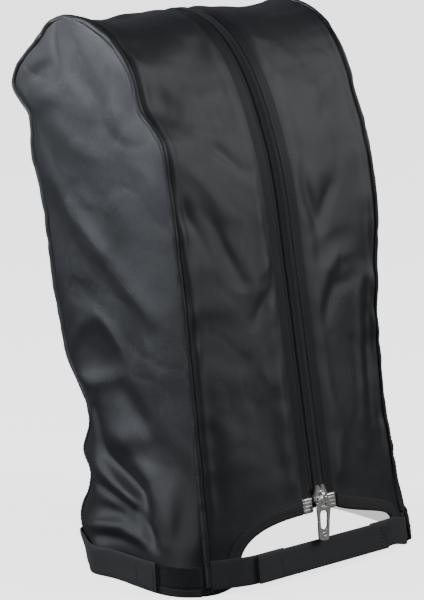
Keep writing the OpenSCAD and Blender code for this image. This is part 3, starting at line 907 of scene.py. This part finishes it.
def build_seam(side, word):
    # on the right the tab is folded over the lip's lower end
    s = np.arange(7.0 if side < 0 else 31.0, PATH.total - 5, 2.2)
    centre, into, out = seam_frame(side, s)
    wave_in = 1 + 0.12 * value_noise(s / 14, 0.0, 61 + side)
    wave_out = 1 + 0.22 * value_noise(s / 9, 2.0, 63 + side)
    profile = [(-1.4, -1.6), (-1.9, 0.4), (-1.0, 2.1), (0.7, 2.9),
               (2.6, 2.8), (4.0, 1.9), (4.8, 0.1), (4.6, -1.6)]
    lip = sweep(f"{word}_seam_lip", centre, into * wave_in[:, None], out * wave_out[:, None], profile)
    for vert in lip.data.vertices:
        vert.co.z = max(vert.co.z, 0)
    finish_piece(lip, SHELL, "coated_cloth", f"{word}_seam_welt")
    sewn = centre + into * 1.7 + out * (2.9 * wave_out[:, None])
    sew(f"{word}_seam_stitching", [(sewn, out)], "coated_cloth", 2.9, 1.5, 0.4)


def build_seam_binding(side, word):
    """The bound seam allowance inside the hood, short of the arch's sight line."""
    centre, into, out = seam_frame(side, np.arange(18.0, PATH.total - 18, STEP))
    profile = [(1.2, -2.0), (9.0, -3.0), (9.4, -4.2), (1.2, -4.6)]
    strip = sweep(f"{word}_seam_binding", centre, into, out, profile)
    finish_piece(strip, SHELL, "binding")


for side, word in SIDES:
    build_seam(side, word)
    build_seam_binding(side, word)


# ---- zipper

ZIP_LOW_Z = ARCH_HEIGHT + 3
ZIP_START = ZIP_LOW_Z / math.cos(FRONT_LEAN)
COIL_TOP = ZIP_END - 20


def build_tape(side, word):
    x, s = np.meshgrid(np.linspace(1.0, 20.0, 8) * side, np.arange(ZIP_START, ZIP_END, 4.0))
    ripple = 0.12 * value_noise(s / 6, x / 9, 71)
    tape = sheet_object(f"zipper_tape_{word}_cloth", gusset(x, s, ripple - 0.35), (x, s), side > 0, 0.8)
    finish_piece(face_out(tape), SHELL, "zipper_tape", f"zipper_tape_{word}")


def build_coil(side, word):
    """One row of zipper teeth, each a loop of thick wire, and the cord sewn along it."""
    pitch = 1.8
    wide, thin = 0.72, 0.52     # half the wire's width and thickness
    head = 1.12                 # the wire is wider where it meets the other side
    around = 6
    # the loops reach past the middle, between those of the other side
    loop = [(5.0, -0.7), (4.9, 0.6), (4.0, 1.0), (0.6, 1.0), (-0.7, 0.35), (-0.7, -0.6), (0.6, -1.1)]
    start = ZIP_START + 2 + (pitch / 2 if side > 0 else 0)
    s_values = np.arange(start, COIL_TOP, pitch)
    across = np.array([side, 0, 0])
    verts, faces = [], []
    for y, z, ny, nz, puff in zip(*PATH.at(s_values)):
        normal = np.array([0, ny, nz])
        along = np.array([0, nz, -ny])
        base = np.array([0, y, z]) + normal * puff
        faces += ring_faces(len(loop), around, len(verts))
        for k, (a, b) in enumerate(loop):
            before, after = loop[max(k - 1, 0)], loop[min(k + 1, len(loop) - 1)]
            da, db = after[0] - before[0], after[1] - before[1]
            square = (normal * da - across * db) / math.hypot(da, db)
            half = wide * (head if k in (3, 4) else 1.0)
            for q in range(around):
                t = 2 * math.pi * q / around
                verts.append(base + across * a + normal * b
                             + along * half * math.cos(t) + square * thin * math.sin(t))
    coil = solid_object(f"zipper_coil_{word}_teeth", verts, faces)
    finish_piece(coil, SHELL, "zipper_coil", f"zipper_coil_{word}")
    cords = [gusset_line(side * x, np.arange(start, COIL_TOP, 3.0), 1.35) for x in (3.1, 3.9)]
    sew(f"zipper_coil_{word}_cord", cords, "zipper_tape", 1.35, 0.45, 0.32)


def build_zip_stitching():
    """Two rows beside the zipper on each side; the outer one starts above the arch's binding."""
    lines = []
    for side, _ in SIDES:
        for x, start in ((EDGE_STITCH, 64.0), (BAND_STITCH, 72.0)):
            s = np.arange(start, ZIP_END - 6, 4.0)
            x_line = np.full_like(s, x * side)
            lines.append(gusset_line(x_line, s, gusset_relief(x_line, s) + 0.22))
    sew("zipper_topstitching", lines, "coated_cloth", length=2.9)


for side, word in SIDES:
    build_tape(side, word)
    build_coil(side, word)
build_zip_stitching()


# ---- zipper hardware

def front_middle(z, puff):
    """Where the zipper line is in y and height, from the seam line's height and the front's puff."""
    return (-DEPTH / 2 + z * math.tan(FRONT_LEAN) - math.cos(FRONT_LEAN) * puff,
            z + math.sin(FRONT_LEAN) * puff)


ZIP_LOW = front_middle(0, HEM_PUFF)
ZIP_HIGH = front_middle(SHOULDER_Z, SHOULDER_PUFF)
ZIP_LEAN = math.atan2(ZIP_HIGH[0] - ZIP_LOW[0], ZIP_HIGH[1] - ZIP_LOW[1])
SLIDER_Z = 76.0
PULL_LEN = 41.0
BLADE_TOP = -4.2        # outer face of the slider's top blade
PIVOT_OUT = 2.6         # the pull's pivot above that face
PIVOT_Z = -1.2          # and along the slider


def zip_point(x, y, z, height=SLIDER_Z):
    """From the zipper's own frame (-y outward, z along it) at a floor height to the hood's."""
    y0 = ZIP_LOW[0] + (height - ZIP_LOW[1]) * math.tan(ZIP_LEAN)
    c, s = math.cos(ZIP_LEAN), math.sin(ZIP_LEAN)
    return (x, y0 + y * c + z * s, height - y * s + z * c)


def rounded_loop(points, radius):
    """A closed outline with its corners rounded."""
    steps = 5
    out = []
    n = len(points)
    for i in range(n):
        p, a, b = (np.array(points[k % n], float) for k in (i, i - 1, i + 1))
        la, lb = np.linalg.norm(a - p), np.linalg.norm(b - p)
        reach = min(radius, la * 0.45, lb * 0.45)
        start, end = p + (a - p) / la * reach, p + (b - p) / lb * reach
        for k in range(steps + 1):
            t = k / steps
            out.append(tuple(start * (1 - t) ** 2 + p * 2 * t * (1 - t) + end * t ** 2))
    return out


def box(x0, x1, z0, z1):
    return [(x0, z0), (x1, z0), (x1, z1), (x0, z1)]


def mirrored_loop(half, radius):
    """A rounded outline from its right half, top to bottom."""
    return rounded_loop(half + [(-x, z) for x, z in half[::-1]], radius)


def plate(outline, y0, y1, holes=(), edge=0.3, dome=0.0, place=zip_point):
    """A flat part cut to an outline in x and z, from y0 to y1, with softened edges."""
    bm = bmesh.new()
    edges = []
    for loop in [outline, *holes]:
        ring = [bm.verts.new((x, y0, z)) for x, z in loop]
        edges += [bm.edges.new(pair) for pair in zip(ring, ring[1:] + ring[:1])]
    bmesh.ops.triangle_fill(bm, edges=edges, use_beauty=True)
    grown = bmesh.ops.extrude_face_region(bm, geom=bm.faces[:])
    moved = [g for g in grown["geom"] if isinstance(g, bmesh.types.BMVert)]
    bmesh.ops.translate(bm, verts=moved, vec=(0, y1 - y0, 0))
    wide = max(abs(x) for x, _ in outline)
    for v in bm.verts:
        if dome and abs(v.co.y - y0) < 1e-6:
            v.co.y -= dome * (1 - (v.co.x / wide) ** 2)
        v.co = [c * MM for c in place(*v.co)]
    bmesh.ops.recalc_face_normals(bm, faces=bm.faces)
    mesh = bpy.data.meshes.new("plate")
    bm.to_mesh(mesh)
    bm.free()
    obj = link_mesh("plate", mesh)
    bevel(obj, "edges", edge, 35, harden=True)
    return obj


def tube_ring(path, radius, around=12, place=zip_point):
    """A round wire through points given in a part's own frame."""
    path = np.array(path, float)
    verts = []
    for p, t in zip(path, unit(np.gradient(path, axis=0))):
        u = unit(np.cross(t, (0.0, 1.0, 0.1)))
        w = np.cross(t, u)
        for q in range(around):
            a = 2 * math.pi * q / around
            verts.append(place(*(p + u * radius * math.cos(a) + w * radius * math.sin(a))))
    return solid_object("wire", verts, ring_faces(len(path), around))


def cast(name, pieces, body, node):
    """Applies the pieces' modifiers and makes one metal piece of them."""
    graph = bpy.context.evaluated_depsgraph_get()
    bm = bmesh.new()
    for piece in pieces:
        bm.from_mesh(piece.evaluated_get(graph).to_mesh())
    mesh = bpy.data.meshes.new(name)
    bm.to_mesh(mesh)
    bm.free()
    for piece in pieces:
        bpy.data.objects.remove(piece)
    finish_piece(link_mesh(name, mesh), body, "metal", node)


def build_slider():
    top = mirrored_loop([(0.01, 7.0), (2.0, 11.3), (4.6, 11.5), (5.6, 7.5), (8.0, 2.6),
                         (8.2, -1.5), (6.6, -7.5), (4.2, -9.4), (0.01, -9.5)], 1.6)
    under = rounded_loop([(5, 9.8), (7.7, 1), (6.3, -8.3), (-6.3, -8.3), (-7.7, 1), (-5, 9.8)], 1.5)
    pieces = [plate(top, BLADE_TOP, -2.2, edge=0.5, dome=0.25), plate(under, 2.95, 4.3, edge=0.4)]
    # side walls down to the tapes
    for sign, _ in SIDES:
        wall = rounded_loop(box(sign * 6.1, sign * 7.5, -4.4, 2.4), 0.5)
        pieces.append(plate(wall, -2.4, 1.05, edge=0.25))
    # the wedge that parts the two coils
    pieces.append(plate(box(-0.33, 0.33, -8.4, -2.6), -2.3, 3.05, edge=0.1))
    cast("slider_body_cast", pieces, "zipper_slider", "slider_body")


def build_bridge():
    """The lug over the pull's bar: a low arch of two wires along the slider."""
    rise = PIVOT_OUT + 1.6
    half_span = 4.4
    path = [(BLADE_TOP + 0.5 - rise * math.sin(a) ** 0.7, PIVOT_Z + 1.6 + half_span * math.cos(a))
            for a in np.linspace(0, math.pi, 18)]
    wires = [tube_ring([(x, y, z) for y, z in path], 0.85) for x in (-0.8, 0.8)]
    cast("slider_bridge_cast", wires, "zipper_slider", "slider_bridge")


def build_pull():
    sway = math.radians(-9)
    eye_bottom = -9.0

    def place(x, y, z):
        # below its eye it hangs a little to the left of the zipper
        angle = sway * smoothstep(-1.0, eye_bottom, z) if z < 0 else 0.0
        c, s = math.cos(angle), math.sin(angle)
        return zip_point(x * c - z * s, BLADE_TOP - PIVOT_OUT + y, PIVOT_Z + z * c + x * s)

    outline = mirrored_loop([(0.01, -1.0), (5.6, -1.1), (8.0, -4.6), (9.0, -9.6), (8.2, -13.2),
                             (7.3, -22.0), (6.9, -32.0), (6.4, -PULL_LEN + 2.2), (4.6, -PULL_LEN),
                             (0.01, -PULL_LEN)], 2.4)
    eye = mirrored_loop([(0.01, -1.9), (3.4, -2.0), (4.9, -5.0), (3.8, -8.6), (0.01, -8.8)], 1.2)
    window = mirrored_loop([(0.01, -12.6), (3.9, -12.8), (5.0, -16.5), (4.2, -29.0), (0.01, -31.0)], 1.8)
    body = plate(outline, -1.05, 1.05, [eye, window], edge=0.45, place=place)
    bar = tube_ring([(x, 0, 0) for x in np.linspace(-5.6, 5.6, 7)], 1.15, place=place)
    # an oval rim pressed into the grip end
    rim = tube_ring([(2.6 * math.cos(t), -1.1, -PULL_LEN + 5.6 + 1.7 * math.sin(t))
                     for t in np.linspace(0, 2 * math.pi, 25)], 0.35, around=8, place=place)
    cast("pull_tab_cast", [body, bar, rim], "zipper_pull", "pull_tab")


def build_clips():
    """Ribbed metal clips folded over the zipper's lower corners."""
    edge_z = front_middle(ARCH_HEIGHT, HEM_PUFF)[1]
    rings, around = 41, 28
    low, tall = -1.4, 14.8
    middle_x, middle_y = 15.3, 1.2
    half_x, half_y = 5.9, 2.35
    pieces = []
    for sign, _ in SIDES:
        verts = []
        for k in range(rings):
            z = low + tall * k / (rings - 1)
            rib = 0.32 * abs(math.sin(math.pi * (z + 0.6) / 3.6))
            from_end = min(k, rings - 1 - k)
            close = 0.55 + 0.45 * math.sin(math.pi * from_end / 6) if from_end < 3 else 1.0
            for q in range(around):
                a = 2 * math.pi * q / around
                across = math.copysign(abs(math.cos(a)) ** 0.35, math.cos(a)) * half_x
                deep = math.copysign(abs(math.sin(a)) ** 0.5, math.sin(a)) * half_y * close
                out = rib * max(0.0, -math.sin(a)) ** 0.4
                verts.append(zip_point(sign * middle_x + across, middle_y + deep - out, z, edge_z))
        pieces.append(solid_object("clip", verts, ring_faces(rings, around)))
    cast("zipper_end_clips_metal", pieces, SHELL, "zipper_end_clips")


def crown_point(x, y, z):
    """From the frame at the zipper's upper end (y down the back, z outward) to the hood's."""
    y0, z0, ny, nz, puff = PATH.at(ZIP_END)
    out = puff + z
    return np.stack(np.broadcast_arrays(x, y0 + ny * out + nz * y, z0 + nz * out - ny * y), -1)


def build_top_stops():
    pieces = [plate(rounded_loop(box(sign * 1.7, sign * 4.7, -9.8, -7.1), 0.7), -1.2, 1.0,
                    place=lambda x, y, z: crown_point(x, z, -y)) for sign, _ in SIDES]
    cast("zipper_top_stops_metal", pieces, SHELL, "zipper_top_stops")


def build_end_tab():
    """A folded scrap of the cloth sewn over the zipper's upper end."""
    x, y = np.meshgrid(np.linspace(-15.8, 15.8, 33), np.linspace(-12.8, -1.2, 15))
    lift = 3.9 + bump_at(np.abs(x), 12, 0.35, 2.5) - 0.4 * smoothstep(13.6, 15.8, np.abs(x))
    lift -= 0.008 * (y + 6) ** 2
    tab = sheet_object("zipper_end_tab_cloth", crown_point(x, y, lift), (x, y), thickness=1.1)
    finish_piece(face_out(tab), SHELL, "coated_cloth", "zipper_end_tab")
    lines = flat_stitch_lines(stitch_box(-13.5, 13.5, -11, -3), lambda x, y: crown_point(x, y, 4.15),
                              PATH.normal(ZIP_END))
    sew("zipper_end_tab_stitching", lines, "coated_cloth", 2.2, 1.0, 0.33)


build_slider()
build_bridge()
build_pull()
build_clips()
build_top_stops()
build_end_tab()


# ---- bindings and hems

def arch_line(side, phi, grow):
    x, z = arch_edge(side, phi, grow)
    return gusset(side * x, z / math.cos(FRONT_LEAN)), PATH.normal(z / math.cos(FRONT_LEAN))


def build_arch_binding(side, word):
    points = 70
    phi0 = math.asin(CLIP_REACH / arch_shape(side)[0])
    phi = phi0 + (math.pi / 2 - phi0) * (1 - np.cos(np.linspace(0, math.pi, points))) / 2
    near, out = arch_line(side, phi, 0.0)
    away = unit(arch_line(side, phi, 3.0)[0] - near)
    ripple = 1 + 0.1 * value_noise(np.arange(points) / 3.0, 0.0, 81 + side)
    profile = [(12.0, 0.3), (11.9, 0.95), (11.2, 1.25), (6.0, 1.15), (0.6, 1.45),
               (-0.8, 0.9), (-1.3, -0.6), (-0.8, -2.0), (0.6, -2.5), (11.0, -2.3),
               (11.0, -1.6), (0.7, -1.6), (0.15, -1.3), (0.15, 0.15), (0.7, 0.3)]
    band = sweep(f"arch_binding_{word}_tape", near, away, out * ripple[:, None], profile)
    finish_piece(band, SHELL, "binding", f"arch_binding_{word}")
    lines = [(near + away * a + out * 1.35, out) for a in (3.0, 9.8)]
    sew(f"arch_binding_{word}_stitching", lines, "binding", radius=0.34)


def side_sheet(side, name, v, z, d, thickness):
    """A band on a side panel; v, z and d are grids, and its outer face stands d outside the panel."""
    points = side_line(side, v, z, d)[0]
    points[..., 2] = np.maximum(points[..., 2], 0)
    length = np.stack([run_length(row) for row in points])
    return face_out(sheet_object(name, points, (length, z), side > 0, thickness), (side, 0, 0))


def band_grid(v0, v1, cols, z0, z1, rows):
    return np.meshgrid(np.linspace(v0, v1, cols), np.linspace(z0, z1, rows))


def build_hem_tape(side, word):
    top = 8.3
    v, z = band_grid(0.02, 0.98, 90, 0.0, top, 7)
    d = 1.35 + 0.18 * value_noise(v * 40, z / 6, 91 + side) - 0.5 * smoothstep(7.0, top, z)
    tape = side_sheet(side, f"{word}_hem_binding", v, z, d, 0.9)
    finish_piece(tape, SHELL, "binding", f"{word}_hem_tape")
    line = side_line(side, np.linspace(0.03, 0.97, 90), 6.0, 1.6)
    sew(f"{word}_hem_stitching", [line], "binding", radius=0.34)


def build_back_hem():
    half = 120
    x, z = np.meshgrid(np.linspace(-half, half, 60), np.linspace(0, 12, 6))
    y = DEPTH / 2 + z * math.tan(BACK_LEAN) - 2.0 + 0.12 * value_noise(x / 9, z / 5, 95)
    tape = sheet_object("back_hem_tape", np.stack([x, y, z], -1), (x, z), thickness=0.9)
    finish_piece(tape, SHELL, "binding", "back_hem_facing")
    lines = [gusset_line(np.linspace(-half, half, 80), PATH.back_s(height), 0.2) for height in (3.0, 10.0)]
    sew("back_hem_stitching", lines, "binding")


def build_cross_seam():
    """The taped seam behind the crown."""
    half_tape = 6
    hw = float(half_w(PATH.height(ZIP_END))) - 4
    x, t = np.meshgrid(np.linspace(-hw, hw, 90), np.linspace(-half_tape, half_tape, 7))
    d = 2.4 - 0.6 * (np.abs(t) / half_tape) ** 4 + 0.2 * value_noise(x / 9, t / 6, 96)
    tape = sheet_object("crown_seam_tape", gusset(x, ZIP_END + t, d), (x, t), thickness=0.9)
    finish_piece(face_out(tape), SHELL, "binding", "crown_cross_seam")
    lines = [gusset_line(np.linspace(2 - hw, hw - 2, 90), ZIP_END + t, 2.6) for t in (-4.2, 4.2)]
    sew("crown_seam_stitching", lines, "binding")


for side, word in SIDES:
    build_arch_binding(side, word)
    build_hem_tape(side, word)
build_back_hem()
build_cross_seam()


# ---- straps

STRAP_W = 28.0
WEBBING = 1.5
STRAP_OUT = 24.2        # inner face of the front strap
STRAP_Z = 5.3           # its lower edge
STRAP_TOP = STRAP_OUT + WEBBING
TAB_OUT = 22.0          # outer face of the tabs behind it
TAB_T = 1.3
FREE = "front_strap_free"
FRONT_OUT = (0, -math.cos(FRONT_LEAN), math.sin(FRONT_LEAN))


def front_point(x, out, z):
    """From the front strap's frame (out from the seam plane, z up the lean) to the hood's."""
    x, out, z = np.broadcast_arrays(x, out, np.add(z, STRAP_Z))
    c, s = math.cos(FRONT_LEAN), math.sin(FRONT_LEAN)
    return np.stack([x, -DEPTH / 2 - out * c + z * s, out * s + z * c], -1)


def ribbon_sheet(name, line, width, thickness, seed, pitch=2.0, drop=0.0, corner=0.0):
    """Webbing on edge along a line of (x, out) points, outer face on the line.

    drop lowers its first end, and corner rounds that end's lower corner.
    """
    line = np.array(line, float)
    run = run_length(line)
    t = np.linspace(0, run[-1], int(run[-1] / pitch) + 2)
    x, out = (np.interp(t, run, line[:, k]) for k in (0, 1))
    for _ in range(6):
        for values in (x, out):
            values[1:-1] = (values[:-2] + 2 * values[1:-1] + values[2:]) / 4
    h = np.linspace(0, 1, 12)[:, None] * width
    wave_out = 0.25 * value_noise(t / 23, h / 30, seed)
    rim = 0.35 * np.abs(2 * h / width - 1) ** 8
    sag = drop * (1 - smoothstep(8, 44, t))
    cut = corner - np.sqrt(corner ** 2 - np.clip(corner - t, 0, None) ** 2)
    grid = front_point(x, out + wave_out - rim, cut + h * (width - cut) / width - sag)
    obj = face_out(sheet_object(name, grid, (t, h), thickness=thickness), (0, -1, 0))
    soften_rim(obj)
    return obj


def soften_rim(obj):
    bevel(obj, "rim", 0.35, 50)


def build_tabs():
    bow = [(126.5, 2.4), (124, 4.5), (118, 7.9), (112, 11.3), (106, 14.7), (100, 17.9), (94, 20.5),
           (88, 21.8), (84, TAB_OUT), (50, TAB_OUT)]
    left = ribbon_sheet("left_tab_webbing", [(-x, out) for x, out in bow], STRAP_W, TAB_T, 101)
    finish_piece(left, SHELL, "webbing", "left_tab")
    # the right one drags its corner of the hem outward
    bow = [(133, 1.0), (131.5, 4.5), (128.5, 8.8), (123, 11.8), (118, 13.8), (112, 15.9), (106, 17.8),
           (100, 19.5), (94, 21), (88, 21.8), (84, TAB_OUT), (66, TAB_OUT)]
    right = ribbon_sheet("right_tab_webbing", bow, STRAP_W, TAB_T, 102, drop=6.0, corner=9.0)
    finish_piece(right, SHELL, "webbing", "right_tab")


def build_front_strap():
    line = [(86, STRAP_TOP), (71.7, STRAP_TOP), (-86, STRAP_TOP)]
    strap = ribbon_sheet("front_strap_webbing", line, STRAP_W, WEBBING, 103, pitch=1.6)
    finish_strap(strap, FREE, front_point(75.0, STRAP_OUT, 15.0), front_point(66.0, STRAP_OUT, 15.0),
                 "front_strap", "front_strap_anchor")
    for word, x0, x1, cross, body in (("box", 76.5, 84, True, SHELL), ("pad", -83.5, -56, False, FREE)):
        lines = flat_stitch_lines(stitch_box(x0, x1, 3.0, 25.0, cross),
                                  lambda x, z: front_point(x, STRAP_TOP + 0.25, z), FRONT_OUT)
        sew(f"front_strap_{word}_stitching", lines, "webbing", 2.4, 1.1, body=body)


def build_front_pads():
    for name, x0, x1, out, seed, body, node in (
            ("front_strap_hooks", -83, -55, 24.1, 104, FREE, "front_strap_hook_pad"),
            ("left_tab_loops", -84, -54, 23.0, 105, SHELL, "left_tab_loop_pad")):
        pad = ribbon_sheet(name, [(x0, out), (x1, out)], 24, 0.9, seed)
        for vert in pad.data.vertices:
            vert.co.z += 2 * MM
        finish_piece(pad, body, "hook_and_loop", node)


GATHER_Z = 2.5          # lower edge of the gather straps, if carried on to the front seam
GATHER_FALL = 2.5       # how much lower it is at the back seam
GATHER_FRONT = 0.21     # free end, as a share of the side panel's depth
GATHER_BACK = 0.985     # sewn end
HOOKS_BACK = 0.35       # where the hooks on the free end stop


def gather_z(v, share):
    """Height on the gather strap at a share of its width."""
    return GATHER_Z + STRAP_W * share - GATHER_FALL * v


def build_gather_strap(side, word):
    free = f"{word}_gather_free"
    v, h = band_grid(GATHER_FRONT, GATHER_BACK, 110, 0, 1, 10)
    tuck = smoothstep(0.93, GATHER_BACK, v)
    d = 4.2 - 2.9 * tuck + 0.2 * value_noise(v * 9, h * 2, 111 + side) - 0.35 * np.abs(2 * h - 1) ** 8
    strap = side_sheet(side, f"{word}_gather_webbing", v, gather_z(v, h), d, WEBBING)
    soften_rim(strap)
    start, end = side_line(side, np.array([0.915, 0.86]), 20.0, 4.0)[0]
    finish_strap(strap, free, start, end, f"{word}_gather_strap", f"{word}_gather_anchor")
    v, z = band_grid(GATHER_FRONT - 0.012, HOOKS_BACK, 30, 9.5, 27.0, 8)
    hooks = side_sheet(side, f"{word}_gather_hooks", v, z, 2.6, 0.8)
    finish_piece(hooks, free, "hook_and_loop", f"{word}_gather_hook_pad")


def build_loop_patch(side, word):
    v, z = band_grid(0.015, 0.42, 50, 8.6, 28.4, 12)
    d = 1.5 + 0.25 * value_noise(v * 60, z / 4, 115 + side)
    loops = side_sheet(side, f"{word}_loop_patch_pile", v, z, d, 1.0)
    finish_piece(loops, SHELL, "hook_and_loop", f"{word}_loop_patch")
    lines = [side_line(side, np.linspace(0.02, 0.415, 40), z, 1.75) for z in (10.5, 26.5)]
    sew(f"{word}_loop_patch_stitching", lines, "hook_and_loop", 2.6, 1.4, 0.33, material="hook_and_loop")


def build_gather_stitching(side, word):
    """A box of stitches round the hooks, through the webbing's free end."""
    v = np.linspace(GATHER_FRONT + 0.015, HOOKS_BACK + 0.01, 24)
    share = np.linspace(0.1, 0.9, 12)
    sewn = [(v, gather_z(v, share[0])), (v, gather_z(v, share[-1]))]
    sewn += [(across, gather_z(across, share)) for across in (GATHER_FRONT + 0.02, HOOKS_BACK + 0.005)]
    lines = [side_line(side, v, z, 4.45) for v, z in sewn]
    sew(f"{word}_gather_stitching", lines, "webbing", 2.4, 1.2, 0.34, body=f"{word}_gather_free")


build_tabs()
build_front_strap()
build_front_pads()
for side, word in SIDES:
    build_gather_strap(side, word)
    build_loop_patch(side, word)
    build_gather_stitching(side, word)


# ---- floor, light and camera

COOL = (0.90, 0.94, 1.0)


def add_object(name, data, place, away):
    """Puts a light or camera in the scene, looking against the direction away."""
    obj = bpy.data.objects.new(name, data)
    bpy.context.scene.collection.objects.link(obj)
    obj.location = place
    obj.rotation_euler = (-away).to_track_quat("-Z", "Y").to_euler()
    return obj


def area_light(name, place, aim, size, power, colour, spread=180):
    data = bpy.data.lights.new(name, "AREA")
    data.spread = math.radians(spread)
    data.shape = "RECTANGLE"
    data.size, data.size_y = size
    data.energy = power
    data.color = colour
    add_object(name, data, place, Vector(place) - Vector(aim))


def build_floor():
    half = 6.0
    mesh = bpy.data.meshes.new("floor")
    mesh.from_pydata([(x, y, 0) for x, y in box(-half, half, -half, half)], [], [(0, 1, 2, 3)])
    mesh.materials.append(floor_look())
    link_mesh("floor", mesh)


def build_world():
    world = bpy.data.worlds.new("studio")
    bpy.context.scene.world = world
    world.use_nodes = True
    sky = Nodes(world.node_tree)
    background = world.node_tree.nodes["Background"]
    sky.feed(background.inputs["Color"], (1.0, 1.0, 1.0))
    sky.feed(background.inputs["Strength"], sky.ramp(sky.seen(), 0.1, 3.0))


def build_camera(azimuth, elevation, distance, lens, aim):
    a, e = math.radians(azimuth), math.radians(elevation)
    away = Vector((math.sin(a) * math.cos(e), -math.cos(a) * math.cos(e), math.sin(e)))
    data = bpy.data.cameras.new("camera")
    data.lens = lens
    data.sensor_width = 36
    bpy.context.scene.camera = add_object("camera", data, Vector(aim) + away * distance, away)


build_floor()
build_world()
area_light("back_left_softbox", (-1.15, 0.95, 0.85), (-0.15, 0.1, 0.45), (0.7, 0.7), 14, COOL)
area_light("shoulder_spot", (-1.1, 0.92, 0.95), (-0.15, 0.12, 0.58), (0.35, 0.35), 0.72, COOL, spread=36)
area_light("front_right_softbox", (1.1, -1.2, 1.35), (0, 0.0, 0.38), (0.9, 1.2), 25, (0.97, 0.98, 1.0))
area_light("left_key", (-1.8, -0.6, 0.8), (0, 0.05, 0.25), (0.9, 0.9), 15, (0.95, 0.97, 1.0))
build_camera(-41, 12, 2.45, 147, (0, 0.0557, 0.2447))
